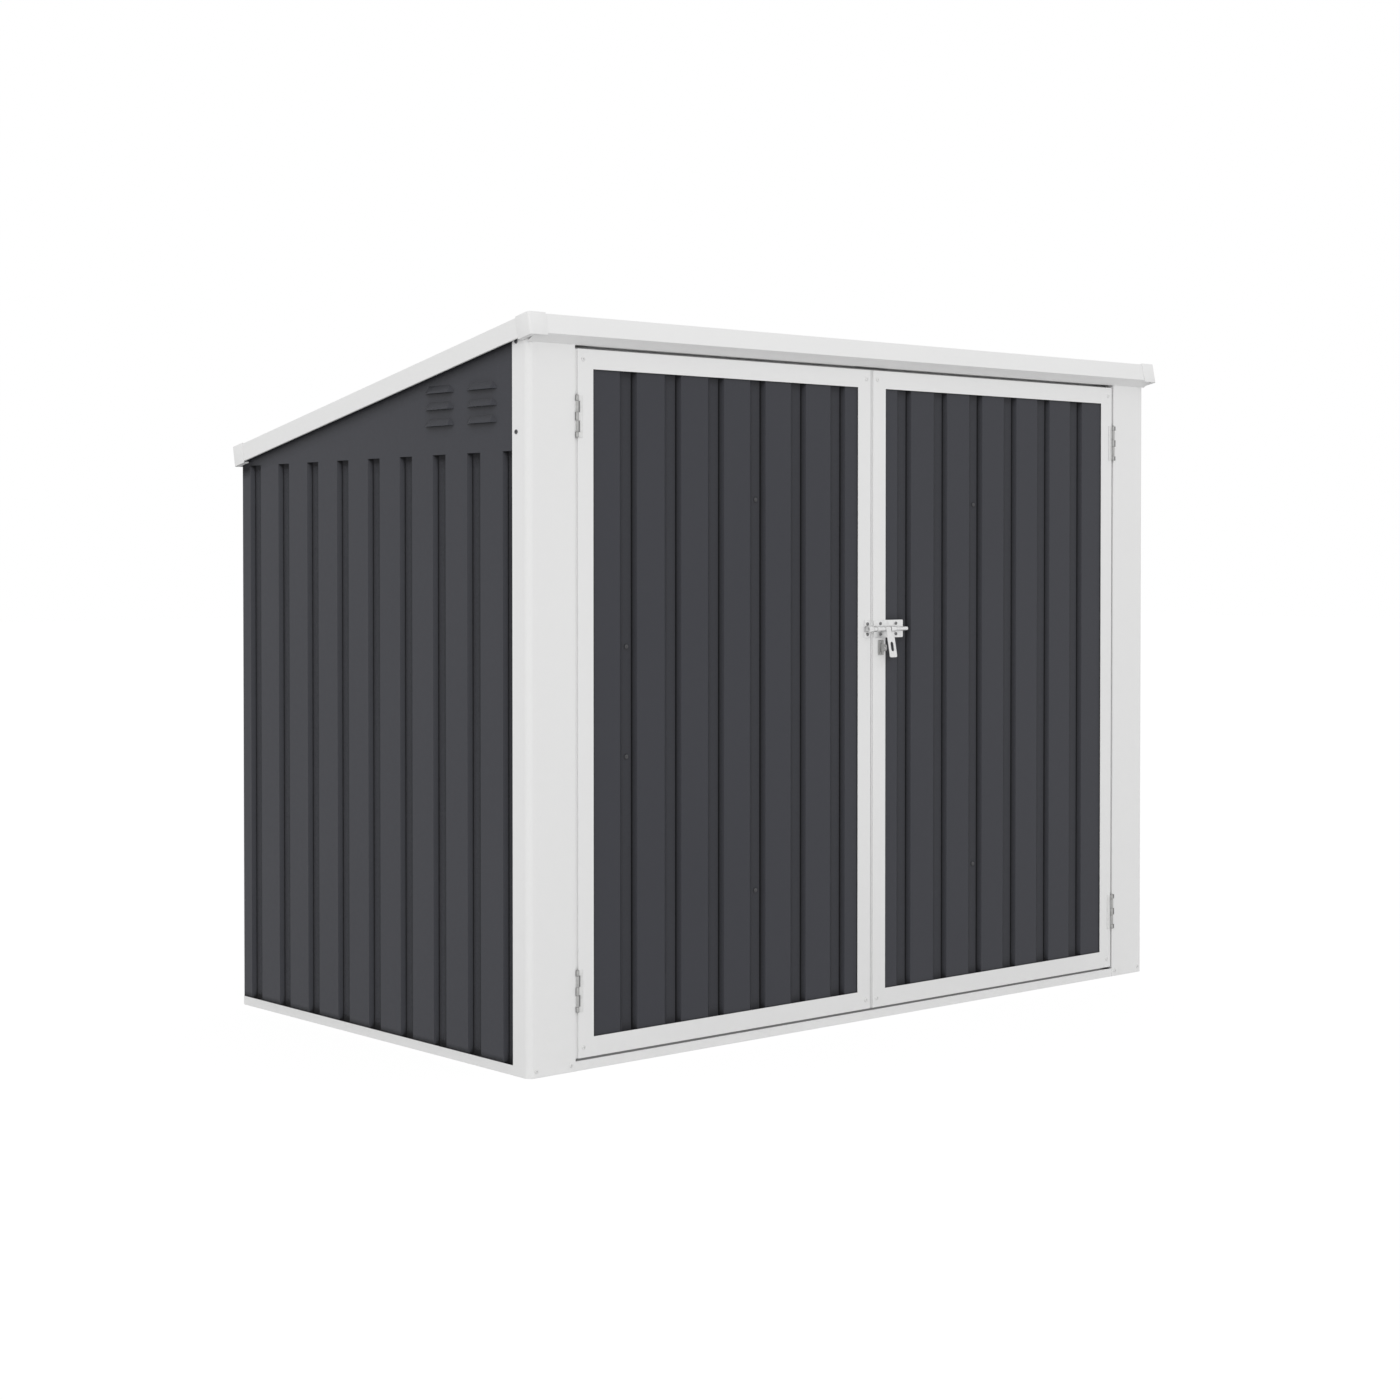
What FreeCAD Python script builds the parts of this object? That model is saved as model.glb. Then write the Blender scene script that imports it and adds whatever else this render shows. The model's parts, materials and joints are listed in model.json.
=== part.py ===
import FreeCAD, Part
import math
import os

# A two-door steel bin store with a single-pitch roof that rises to the front.
# Millimetres. While it is drawn, X runs along the front from the middle, Y runs
# back from the front wall plane and Z rises from the ground. The finished pieces
# are then moved along Y, so that the origin is the bottom centre of the whole.

# Overall sizes
wall_width = 1700.0
wall_depth = 960.0
roof_slope_deg = 11.42
eave_front_z = 1298.0

# Sheet metal
frame_t = 0.8
sheet_t = 0.6

# Base rails and ground anchors
rail_height = 17.4
rail_flange = 40.0
anchor_hole_r = 3.3
anchor_inset = 20.0
anchor_from_front = 150.0
anchor_from_rear = 150.0

# Front posts and rear corner angles
post_face = 104.0
post_side = 46.0
post_return = 22.0
post_bend_r = 12.0
bend_flats = 6
bend_clear = 0.5
corner_flange = 28.0

# Pressed grooves of the sheets
groove_open = 40.0
groove_floor = 22.0
groove_depth = 7.0
crease_run = 2.5
crease_depth = 3.5
wall_pitch = 106.6
door_pitch = 105.8
side_groove_below_eave = 4.0
side_groove_from_rear = 51.0
side_groove_from_front = 50.0
rear_plain_band = 54.0
lap_trim = 1.0

# Louvres in the side walls
louvre_columns = (92.0, 222.0)
louvre_length = 91.0
louvre_drops = (146.0, 116.0, 86.0)
louvre_height = 14.0
louvre_reach = 5.0
louvre_taper = 14.0
louvre_lip = 3.0
louvre_slot = 9.0

# Roof
trim_web = 35.0
trim_flange = 30.0
side_overhang = 10.5
front_overhang = 22.5
rear_overhang = 8.0
side_trim_hem = 4.0
lip_drop = 10.0
edge_gap = 0.5
top_rail_flange = 25.0
purlin_height = 30.0
purlin_flange = 25.0
header_depth = 30.0
header_stop = 5.0
rear_rail_height = 30.0
cap_leg = 38.0
cap_t = 1.8
cap_hang = 4.0
cap_rise = 2.3
cap_corner_r = 4.0

# Doors
door_foot_gap = 4.6
door_head_gap = 6.0
door_side_gap = 6.5
door_centre_gap = 7.0
door_member = 35.0
door_thick = 20.0
member_lip = 12.0
hinge_rebate = 4.5
meeting_rebate = 2.9
rebate_depth = 3.0
tab_length = 30.0
tab_hold = 15.0
tab_margin = 2.0
door_groove_from_meeting = 89.5
door_groove_from_hinge = 100.0
seam_groove_count = 2
brace_height = 40.0
brace_from_end = 260.0
spare_screw_spread = 99.5

# Hinges
hinge_from_end = 120.0
hinge_axis_proud = 2.0
barrel_r = 3.1
pin_r = 1.5
pin_running_gap = 0.05
pin_press = 0.02
pin_head_r = 2.6
pin_head_t = 1.2
leaf_t = 1.0
door_leaf_width = 9.5
post_leaf_depth = 18.0
post_leaf_clear = 3.0
door_knuckles = (9.0, 14.0, 9.0)
post_knuckle = 20.0
knuckle_gap = 0.5

# Latch
latch_above_middle = 120.0
plate_t = 1.2
plate_height = 35.0
plate_length = 82.0
plate_from_edge = 1.5
plate_screw_inset = 18.0
plate_screw_end = 20.0
plate_screw_rise = 10.5
rod_r = 4.0
rod_proud = 7.5
rod_length = 94.5
rod_tip_reach = 6.0
rod_chamfer = 0.8
guide_t = 1.2
guide_gap = 0.3
guide_near = (2.0, 9.5)
guide_far = (40.5, 56.5)
collar_r = 5.0
collar_t = 1.0
keeper_width = 18.0
keeper_from_edge = 0.5
keeper_saddle = 13.0
keeper_gap = 1.6
eye_r = 5.4
eye_length = 13.0
eye_from_edge = 24.5
eye_side_gap = 0.3
eye_running_gap = 0.06
tab_width = 20.0
tab_reach = 58.0
tab_plate_t = 1.6
tab_shoulder = 8.0
tab_corner = 3.0
tab_slot_width = 8.0
tab_slot_from = 27.0
tab_slot_to = 46.0
hasp_lean_deg = 11.0
bolt_throw = 13.0
staple_drop = 37.0
staple_plate_width = 16.0
staple_plate_height = 30.0
staple_plate_t = 1.0
staple_screw_rise = 11.0
lug_t = 3.0
lug_height = 14.0
lug_reach = 16.0
lug_hole_r = 2.75
lug_hole_reach = 12.0

# Screws
screw_head_r = 4.0
screw_head_t = 1.8
screw_r = 2.0
screw_hole_gap = 0.15
screw_length = 6.0
long_screw_length = 12.0
latch_screw_head_r = 3.2
latch_screw_r = 1.6
latch_screw_length = 5.0
corner_screw_from_side = 12.0
corner_screw_from_end = 18.0
foot_screw_z = 12.0
foot_screw_from_corner = 16.5
foot_screw_from_jamb = 10.0
post_screw_from_edge = 12.0
post_screw_drop = 1.0
post_screw_pitch = 158.0
rear_screw_from_corner = 14.0
rear_screw_count = 3
rear_screw_end = 120.0

# Worked-out places
slope = math.radians(roof_slope_deg)
half_width = wall_width / 2
rail_face = half_width - frame_t
sheet_face = half_width - 2 * frame_t
sheet_back = sheet_face - sheet_t
rear_face = wall_depth - frame_t
rear_back = rear_face - sheet_t
groove_full = groove_depth + crease_depth
groove_back = groove_full + 2 * sheet_t
roof_half = half_width + side_overhang
roof_front_u = -front_overhang
roof_rear_u = wall_depth / math.cos(slope) + rear_overhang
roof_sheet_n = trim_web - frame_t
roof_flat_n = roof_sheet_n - sheet_t
roof_groove_n = roof_sheet_n - groove_back
rear_eave_z = eave_front_z - wall_depth * math.tan(slope)
side_groove_top = rear_eave_z - side_groove_below_eave
rear_groove_top = rear_eave_z - rear_plain_band
louvre_sills = [eave_front_z - drop for drop in louvre_drops]
lip_foot_z = eave_front_z - lip_drop
header_foot_z = lip_foot_z
jamb_x = half_width - post_face
door_hinge_x = jamb_x - door_side_gap
door_meeting_x = door_centre_gap / 2
door_foot_z = rail_height + door_foot_gap
door_head_z = header_foot_z - door_head_gap
door_middle_z = (door_foot_z + door_head_z) / 2
door_sheet_y = 2 * frame_t
brace_heights = (door_foot_z + brace_from_end, door_head_z - brace_from_end)
spare_screw_heights = (door_middle_z - spare_screw_spread, door_middle_z + spare_screw_spread)
hinge_axis_x = jamb_x - door_side_gap / 2
hinge_height = sum(door_knuckles) + 2 * post_knuckle + 4 * knuckle_gap
hinge_centres = (door_foot_z + hinge_from_end, door_head_z - hinge_from_end)
latch_z = door_middle_z + latch_above_middle
guide_r = rod_r + guide_gap
guide_outer_r = guide_r + guide_t
keeper_r = rod_r + keeper_gap
keeper_outer_r = keeper_r + guide_t
rod_axis = FreeCAD.Vector(0, -rod_proud, latch_z)

X_AXIS = FreeCAD.Vector(1, 0, 0)
Y_AXIS = FreeCAD.Vector(0, 1, 0)
Z_AXIS = FreeCAD.Vector(0, 0, 1)
ORIGIN = FreeCAD.Vector(0, 0, 0)


def block(x, y, z):
    """Box between pairs of limits."""
    corner = FreeCAD.Vector(x[0], y[0], z[0])
    return Part.makeBox(x[1] - x[0], y[1] - y[0], z[1] - z[0], corner)


def cylinder(radius, start, axis, length):
    """Round bar from a point along an axis."""
    return Part.makeCylinder(radius, length, start, axis)


def rounded_path(path, radius):
    """Path whose inner corners are bent over a radius, in short flats."""
    points = [path[0]]
    for before, corner, after in zip(path, path[1:], path[2:]):
        into = unit(before, corner)
        out = unit(corner, after)
        turn = math.atan2(into[0] * out[1] - into[1] * out[0], into[0] * out[0] + into[1] * out[1])
        reach = radius * math.tan(abs(turn) / 2)
        side = math.copysign(1, turn)
        start = (corner[0] - into[0] * reach, corner[1] - into[1] * reach)
        centre = (start[0] - side * into[1] * radius, start[1] + side * into[0] * radius)
        for step in range(bend_flats + 1):
            angle = turn * step / bend_flats
            arm = (start[0] - centre[0], start[1] - centre[1])
            points.append((centre[0] + arm[0] * math.cos(angle) - arm[1] * math.sin(angle),
                           centre[1] + arm[0] * math.sin(angle) + arm[1] * math.cos(angle)))
    points.append(path[-1])
    return points


def unit(start, end):
    """Direction from one point of a path to the next."""
    length = math.hypot(end[0] - start[0], end[1] - start[1])
    return ((end[0] - start[0]) / length, (end[1] - start[1]) / length)


def folded(path, thickness):
    """Outline of a sheet bent along a path, with its thickness on the path's left."""
    normals = []
    for start, end in zip(path, path[1:]):
        direction = unit(start, end)
        normals.append((-direction[1], direction[0]))
    offset = []
    for index, point in enumerate(path):
        before = normals[max(index - 1, 0)]
        after = normals[min(index, len(normals) - 1)]
        share = thickness / (1 + before[0] * after[0] + before[1] * after[1])
        offset.append((point[0] + (before[0] + after[0]) * share,
                       point[1] + (before[1] + after[1]) * share))
    return list(path) + offset[::-1]


def prism(outline, plane, span):
    """Solid of an outline in the plane XY, YZ or XZ, between two limits of the third axis."""
    place = {
        "XY": lambda a, b: FreeCAD.Vector(a, b, span[0]),
        "YZ": lambda a, b: FreeCAD.Vector(span[0], a, b),
        "XZ": lambda a, b: FreeCAD.Vector(a, span[0], b),
    }[plane]
    axis = {"XY": Z_AXIS, "YZ": X_AXIS, "XZ": Y_AXIS}[plane]
    points = [place(a, b) for a, b in outline]
    face = Part.Face(Part.makePolygon(points + points[:1]))
    return face.extrude(axis * (span[1] - span[0]))


def joined(pieces):
    """One solid from pieces that meet."""
    return pieces[0].fuse(pieces[1:]).removeSplitter()


def mirrored(shape):
    """The same piece on the other side of the middle."""
    return shape.mirror(ORIGIN, X_AXIS)


def on_roof(shape):
    """Move a piece drawn flat, with Y down the slope and Z square to it, onto the roof."""
    placed = shape.copy()
    placed.rotate(ORIGIN, X_AXIS, -roof_slope_deg)
    placed.translate(FreeCAD.Vector(0, 0, eave_front_z))
    return placed


def roof_z(y, n):
    """Height at a distance back of the plane that lies n above the trims' undersides."""
    return eave_front_z - y * math.tan(slope) + n / math.cos(slope)


def roof_u(y, z):
    """Place down the slope, and square to it, of a point of the walls."""
    rise = z - eave_front_z
    return (y * math.cos(slope) - rise * math.sin(slope),
            y * math.sin(slope) + rise * math.cos(slope))


def under_roof(shape, n):
    """Cut a piece off at the plane that lies n above the trims' undersides."""
    reach = wall_width + wall_depth + eave_front_z
    above = block((-reach, reach), (-reach, reach), (n, n + reach))
    return shape.cut(on_roof(above))


def bored(shape, places, radius, axis):
    """Drill through a piece at each place, along an axis."""
    reach = 2 * long_screw_length
    drills = [cylinder(radius, place - axis * reach, axis, 2 * reach) for place in places]
    return shape.cut(drills) if drills else shape


# Grooved sheets

def even_places(start, end, pitch):
    """Places a pitch apart that fit between two limits, counted from the start."""
    count = int(math.floor((end - start) / pitch + 1e-6)) + 1
    return [start + pitch * index for index in range(count)]


def centred_places(half, pitch):
    """Places a pitch apart, centred, that fit within half a width each way."""
    count = int(math.floor(2 * half / pitch + 1e-6)) + 1
    return [(index - (count - 1) / 2) * pitch for index in range(count)]


def near_side(centre):
    """The groove's first bevel, its crease and the edge of its floor, as (along, depth)."""
    half_floor = groove_floor / 2
    return [(centre - groove_open / 2, 0), (centre - half_floor - crease_run, groove_full),
            (centre - half_floor, groove_depth)]


def far_side(centre):
    """The second half of the groove."""
    return [(2 * centre - along, depth) for along, depth in near_side(centre)[::-1]]


def sheet_paths(start, end, centres, seam=None):
    """Paths of one sheet, or of two that lap on the floor of one groove."""
    paths = [[(start, 0)]]
    for index, centre in enumerate(centres):
        paths[-1] += near_side(centre)
        if index == seam:
            half_lap = groove_floor / 2 - lap_trim
            paths[-1].append((centre + half_lap, groove_depth))
            paths.append([(centre - half_lap, groove_depth + sheet_t),
                          (centre + groove_floor / 2, groove_depth + sheet_t)])
            paths[-1] += far_side(centre)[1:]
        else:
            paths[-1] += far_side(centre)
    paths[-1].append((end, 0))
    return paths


def groove_end(centre, part):
    """Outline that closes the end of a groove: the whole of it, or one sheet's share of the lap."""
    edge = centre + groove_floor / 2 - lap_trim
    if part == "whole":
        return near_side(centre) + far_side(centre)
    if part == "first":
        return near_side(centre) + [(edge, groove_depth), (edge, 0)]
    behind = groove_depth + sheet_t
    return [(edge, 0), (edge, behind), (centre + groove_floor / 2, behind)] + far_side(centre)[1:]


def grooved_sheets(start, end, centres, length, groove_top=None, seam=None):
    """Sheets along X with their outer face at Y = 0, standing from Z = 0; grooves may end early."""
    sheets = []
    paths = sheet_paths(start, end, centres, seam)
    for order, path in enumerate(paths):
        sheet = prism(folded(path, sheet_t), "XY", (0, groove_top or length))
        if groove_top:
            own = [start, end]
            ends = []
            for index, centre in enumerate(centres):
                part = "whole"
                if index == seam:
                    part = ("first", "second")[order]
                    own[1 - order] = centre + groove_floor / 2 - lap_trim
                if path[0][0] < centre < path[-1][0]:
                    ends.append(prism(groove_end(centre, part), "XY", (groove_top - sheet_t, groove_top)))
            band = block(own, (0, sheet_t), (groove_top, length))
            sheet = joined([sheet, band] + ends)
        sheets.append(sheet)
    return sheets


def hood(face, sill, crown, lip, span):
    """Solid of a louvre's hood on a wall at X = -face; its ends run out to the wall."""
    front = -face - louvre_reach
    feet = [FreeCAD.Vector(-face, y, sill) for y in span]
    inner = (span[0] + louvre_taper, span[1] - louvre_taper)
    tops = [FreeCAD.Vector(-face, y, crown) for y in inner]
    bends = [FreeCAD.Vector(front, y, lip) for y in inner]
    edges = [FreeCAD.Vector(front, y, sill) for y in inner]
    outlines = [
        [feet[0], tops[0], tops[1], feet[1]], [feet[0], edges[0], edges[1], feet[1]],
        [tops[0], bends[0], bends[1], tops[1]], [bends[0], edges[0], edges[1], bends[1]]]
    for end in (0, 1):
        outlines.append([feet[end], edges[end], bends[end]])
        outlines.append([feet[end], bends[end], tops[end]])
    faces = [Part.Face(Part.makePolygon(points + points[:1])) for points in outlines]
    return Part.makeSolid(Part.makeShell(faces))


def louvre(sill, start, end, face):
    """Pressed hood, open below, over one slot of a wall whose outer face is at X = -face."""
    crown = sill + louvre_height
    lip = sill + louvre_lip
    outside = hood(face, sill, crown, lip, (start, end))
    inside = hood(face - sheet_t, sill - sheet_t, crown - sheet_t, lip, (start + sheet_t, end - sheet_t))
    return outside.cut(inside)


def left_wall_sheet():
    """Side sheet: grooves from the foot to one level, a plain band with louvres above."""
    start = -rear_face
    end = -post_bend_r - bend_clear
    centres = even_places(-(wall_depth - side_groove_from_rear), -side_groove_from_front, wall_pitch)
    height = roof_z(0, trim_web) - frame_t
    sheet = grooved_sheets(start, end, centres, height, side_groove_top - frame_t)[0]
    sheet.rotate(ORIGIN, Z_AXIS, -90)
    sheet.translate(FreeCAD.Vector(-sheet_face, 0, frame_t))
    hoods = []
    slots = []
    for column in louvre_columns:
        for sill in louvre_sills:
            hoods.append(louvre(sill, column, column + louvre_length, sheet_face))
            slots.append(block((-sheet_face - sheet_t, -sheet_back + sheet_t),
                               (column + louvre_taper, column + louvre_length - louvre_taper),
                               (sill, sill + louvre_slot)))
    sheet = joined([sheet.cut(slots)] + hoods)
    return bored(under_roof(sheet, roof_flat_n), post_screw_places(), screw_r + screw_hole_gap, X_AXIS)


def rear_wall_sheets():
    """Rear wall: sheets lapped at the groove nearest the middle."""
    half = sheet_back - corner_flange - groove_open / 2 - lap_trim
    centres = centred_places(half, wall_pitch)
    height = roof_z(rear_back, roof_groove_n) - frame_t
    seam = len(centres) // 2
    sheets = grooved_sheets(-sheet_back, sheet_back, centres, height + groove_full,
                            rear_groove_top - frame_t, seam)
    for sheet in sheets:
        sheet.rotate(ORIGIN, Z_AXIS, 180)
        sheet.translate(FreeCAD.Vector(0, rear_face, frame_t))
    return [bored(under_roof(sheet, roof_groove_n), rear_screw_places(), screw_r + screw_hole_gap, Y_AXIS)
            for sheet in sheets]


# Screws: each group is drawn once and used for the holes and for the screws

def post_screw_places():
    """Screws of the left post's side flange."""
    y = post_side - post_screw_from_edge
    top = roof_z(y, 0) - post_screw_drop
    return [FreeCAD.Vector(-half_width, y, z) for z in (top, top - post_screw_pitch)]


def foot_screw_places():
    """Screws of the left post's foot."""
    return [FreeCAD.Vector(x, 0, foot_screw_z)
            for x in (-half_width + foot_screw_from_corner, -jamb_x - foot_screw_from_jamb)]


def rear_screw_places():
    """Screws of both rear corners."""
    top = roof_z(rear_back, roof_groove_n) - rear_screw_end
    places = []
    for x in (rear_screw_from_corner - sheet_back, sheet_back - rear_screw_from_corner):
        for index in range(rear_screw_count):
            share = index / (rear_screw_count - 1)
            z = rear_screw_end + (top - rear_screw_end) * share
            places.append(FreeCAD.Vector(x, rear_face, z))
    return places


def corner_screw_places():
    """Screws at the corners of the left door's frame."""
    xs = (-door_hinge_x + corner_screw_from_side, -door_meeting_x - corner_screw_from_side)
    zs = (door_foot_z + corner_screw_from_end, door_head_z - corner_screw_from_end)
    return [FreeCAD.Vector(x, 0, z) for x in xs for z in zs]


def door_groove_centres():
    """Groove places of the right door, from the meeting edge outwards."""
    return even_places(door_meeting_x + door_groove_from_meeting, door_hinge_x - door_groove_from_hinge,
                       door_pitch)


def seam_screw_places(side):
    """Screws through the lap of a door's sheets."""
    x = side * door_groove_centres()[seam_groove_count]
    return [FreeCAD.Vector(x, door_sheet_y + groove_depth, z) for z in brace_heights]


def spare_screw_places():
    """Two more screws in the left door's groove next to its hinges."""
    x = -door_groove_centres()[-1]
    return [FreeCAD.Vector(x, door_sheet_y + groove_depth, z) for z in spare_screw_heights]


def plate_screw_places():
    """Screws of the bolt plate."""
    start = door_meeting_x + plate_from_edge
    xs = (start + plate_screw_inset, start + plate_length - plate_screw_end)
    return [FreeCAD.Vector(x, -plate_t, latch_z + rise)
            for x in xs for rise in (-plate_screw_rise, plate_screw_rise)]


def keeper_screw_places():
    """Screws of the keeper."""
    x = -door_meeting_x - keeper_from_edge - keeper_width / 2
    return [FreeCAD.Vector(x, -plate_t, latch_z + rise) for rise in (-plate_screw_rise, plate_screw_rise)]


def staple_screw_places():
    """Screws of the padlock staple."""
    return [FreeCAD.Vector(staple_x(), -staple_plate_t, latch_z - staple_drop + rise)
            for rise in (-staple_screw_rise, staple_screw_rise)]


def latch_screw_places(side):
    """Screws of all that is fixed to the left (-1) or right (1) door's meeting edge."""
    return keeper_screw_places() if side < 0 else plate_screw_places() + staple_screw_places()


def screws(places, axis, length, head_r=screw_head_r, radius=screw_r):
    """Pan-head screws driven along an axis, with the head on each place."""
    made = []
    for place in places:
        head = cylinder(head_r, place - axis * screw_head_t, axis, screw_head_t)
        outer = max(head.Edges, key=lambda edge: -axis.dot(edge.CenterOfMass))
        head = head.makeFillet(screw_head_t / 2, [outer])
        made.append(head.fuse(cylinder(radius, place, axis, length)).removeSplitter())
    return made


# Carcass

def base_rails():
    """Angles on the ground: a web outside, a flange inside.

    The front and rear ones are two strips that meet at the fold.
    """
    web_z = (0, rail_height)
    flange_z = (0, frame_t)
    inside = rail_face - frame_t
    front_half = half_width - post_bend_r - bend_clear
    front = Part.makeCompound([
        block((-front_half, front_half), (frame_t, 2 * frame_t), web_z),
        block((-front_half, front_half), (2 * frame_t, frame_t + rail_flange), flange_z)])
    foot_screws = foot_screw_places()
    foot_screws += [FreeCAD.Vector(-place.x, place.y, place.z) for place in foot_screw_places()]
    front = bored(front, foot_screws, screw_r + screw_hole_gap, Y_AXIS)
    rear = Part.makeCompound([
        block((-inside, inside), (rear_face, wall_depth), web_z),
        block((-inside, inside), (wall_depth - rail_flange, rear_face), flange_z)])
    flange_y = (frame_t + rail_flange, wall_depth - rail_flange)
    left = joined([
        block((-rail_face, -inside), (post_bend_r + bend_clear, wall_depth), web_z),
        block((-rail_face, -rail_face + rail_flange), flange_y, flange_z)])
    anchors = [FreeCAD.Vector(-rail_face + anchor_inset, y, 0)
               for y in (anchor_from_front, wall_depth - anchor_from_rear)]
    left = bored(left, anchors, anchor_hole_r, Z_AXIS)
    return {"base_rail_front": front, "base_rail_rear": rear,
            "base_rail_left": left, "base_rail_right": mirrored(left)}


def left_front_post():
    """Folded post: side flange, face, and a return along the door jamb."""
    angle = rounded_path([(-half_width, post_side), (-half_width, 0), (-jamb_x, 0)], post_bend_r)
    shell = prism(folded(angle, frame_t), "XY", (0, roof_z(0, trim_web)))
    jamb = block((-jamb_x - frame_t, -jamb_x), (0, post_return), (rail_height, header_foot_z))
    post = under_roof(joined([shell, jamb]), roof_groove_n)
    post = bored(post, post_screw_places(), screw_r + screw_hole_gap, X_AXIS)
    return bored(post, foot_screw_places(), screw_r + screw_hole_gap, Y_AXIS)


def left_rear_angle():
    """Corner angle inside the side and rear sheets: two strips that meet at the fold."""
    height = (frame_t, roof_z(rear_back, roof_groove_n) - rear_rail_height)
    rear_leg_y = (rear_back - frame_t, rear_back)
    side_leg_y = (rear_back - corner_flange, rear_back - frame_t)
    angle = Part.makeCompound([
        block((-sheet_back, -sheet_back + corner_flange), rear_leg_y, height),
        block((-sheet_back, -sheet_back + frame_t), side_leg_y, height)])
    return bored(angle, rear_screw_places(), screw_r + screw_hole_gap, Y_AXIS)


def top_rails():
    """Rails under the roof: header over the doors, one on each side wall, one on the rear wall."""
    inner = sheet_back - frame_t
    web_y = frame_t
    back_y = web_y + header_depth
    header_path = [(back_y, header_foot_z - header_stop), (back_y, header_foot_z), (web_y, header_foot_z),
                   (web_y, roof_z(web_y, roof_groove_n)), (back_y, roof_z(back_y, roof_groove_n))]
    header_half = half_width - post_bend_r - bend_clear
    header = prism(folded(header_path[::-1], frame_t), "YZ", (-header_half, header_half))
    foot_n = roof_flat_n - top_rail_flange
    side_path = [(-sheet_back + top_rail_flange, roof_flat_n), (-sheet_back, roof_flat_n),
                 (-sheet_back, foot_n)]
    side_end_u = roof_u(rear_back, roof_z(rear_back, foot_n))[0]
    side = on_roof(prism(folded(side_path, frame_t), "XZ", (roof_front_u, side_end_u + trim_web)))
    side = side.cut(block((-half_width, half_width), (rear_back, 2 * wall_depth), (0, 2 * eave_front_z)))
    side = side.cut(block((-half_width, half_width), (-wall_depth, back_y), (0, 2 * eave_front_z)))
    top = roof_z(rear_back, roof_groove_n)
    front_y = rear_back - top_rail_flange
    rear_path = [(rear_back, top - rear_rail_height), (rear_back, top),
                 (front_y, roof_z(front_y, roof_groove_n))]
    rear = prism(folded(rear_path, frame_t), "YZ", (-inner, inner))
    return {"front_header": header, "side_top_rail_left": side, "side_top_rail_right": mirrored(side),
            "rear_top_rail": rear}


def roof_deck():
    """Grooved roof sheets and the purlin under them."""
    length = roof_rear_u - roof_front_u - 2 * (frame_t + edge_gap)
    half = roof_half - frame_t - edge_gap
    flat = half - sheet_back + top_rail_flange + groove_open / 2 + lap_trim
    centres = centred_places(half - flat, wall_pitch)
    sheets = grooved_sheets(-half, half, centres, length, seam=len(centres) // 2)
    for sheet in sheets:
        sheet.rotate(ORIGIN, X_AXIS, -90)
        sheet.translate(FreeCAD.Vector(0, roof_front_u + frame_t + edge_gap, roof_sheet_n))
    middle_u = (roof_front_u + roof_rear_u) / 2
    foot_n = roof_groove_n - purlin_height
    path = [(middle_u + purlin_flange, roof_groove_n), (middle_u, roof_groove_n),
            (middle_u, foot_n), (middle_u + purlin_flange, foot_n)]
    inner = sheet_back - frame_t
    purlin = prism(folded(path, frame_t), "YZ", (-inner, inner))
    return {"roof_sheet_left": on_roof(sheets[0]), "roof_sheet_right": on_roof(sheets[1]),
            "roof_purlin": on_roof(purlin)}


def roof_trims():
    """Folded trims round the roof; the front one has a lip that comes back to the posts."""
    top_half = roof_half - trim_flange
    web = block((-roof_half, roof_half), (roof_front_u, roof_front_u + frame_t), (0, trim_web))
    top = block((-top_half, top_half), (roof_front_u, roof_front_u + trim_flange), (roof_sheet_n, trim_web))
    lip_foot = roof_u(0, lip_foot_z)
    run = unit((roof_front_u, 0), lip_foot)
    lip_path = [(roof_front_u, frame_t), (roof_front_u, 0),
                (lip_foot[0] + run[0] * frame_t, lip_foot[1] + run[1] * frame_t)]
    lip = prism(folded(lip_path, frame_t), "YZ", (-half_width, half_width))
    front = on_roof(joined([web, top, lip]))
    front = front.cut(block((-roof_half, roof_half), (0, trim_web), (0, header_foot_z + trim_web / 2)))

    side_u = (roof_front_u + frame_t, roof_rear_u - frame_t)
    side_path = [(-roof_half + trim_flange, trim_web), (-roof_half, trim_web), (-roof_half, 0),
                 (-roof_half + side_trim_hem, 0)]
    side = on_roof(prism(folded(side_path, frame_t), "XZ", side_u))

    rear_wall_u = roof_u(wall_depth, roof_z(wall_depth, 0))[0]
    web = block((-roof_half, roof_half), (roof_rear_u - frame_t, roof_rear_u), (0, trim_web))
    top = block((-top_half, top_half), (roof_rear_u - trim_flange, roof_rear_u), (roof_sheet_n, trim_web))
    foot = block((-half_width, half_width), (rear_wall_u + edge_gap, roof_rear_u), (0, frame_t))
    rear = on_roof(joined([web, top, foot]))
    return {"roof_trim_front": front, "roof_trim_rear": rear,
            "roof_trim_left": side, "roof_trim_right": mirrored(side)}


def roof_cap(u_corner, inward):
    """Moulded cap over the left end of the front or rear trim, closed below beside the wall."""
    outer_x = -roof_half - cap_t
    outer_u = u_corner - inward * cap_t
    end_u = u_corner + inward * (cap_leg - cap_t)
    shell = block((outer_x, outer_x + cap_leg), sorted((outer_u, end_u)), (-cap_hang, trim_web + cap_rise))
    corner = [edge for edge in shell.Edges
              if abs(edge.CenterOfMass.x - outer_x) < frame_t / 8
              and abs(edge.CenterOfMass.y - outer_u) < frame_t / 8]
    shell = shell.makeFillet(cap_corner_r, corner)
    far_u = u_corner + inward * 2 * cap_leg
    hollow = block((-roof_half, -roof_half + 2 * cap_leg), sorted((u_corner, far_u)),
                   (-cap_hang - cap_t, trim_web))
    sole = block((outer_x, -half_width - edge_gap), sorted((outer_u, end_u)), (-cap_hang, cap_t - cap_hang))
    return on_roof(joined([shell.cut(hollow), shell.common(sole)]))


# Hinges: the left upper hinge is drawn about Z = 0 and used four times

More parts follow.
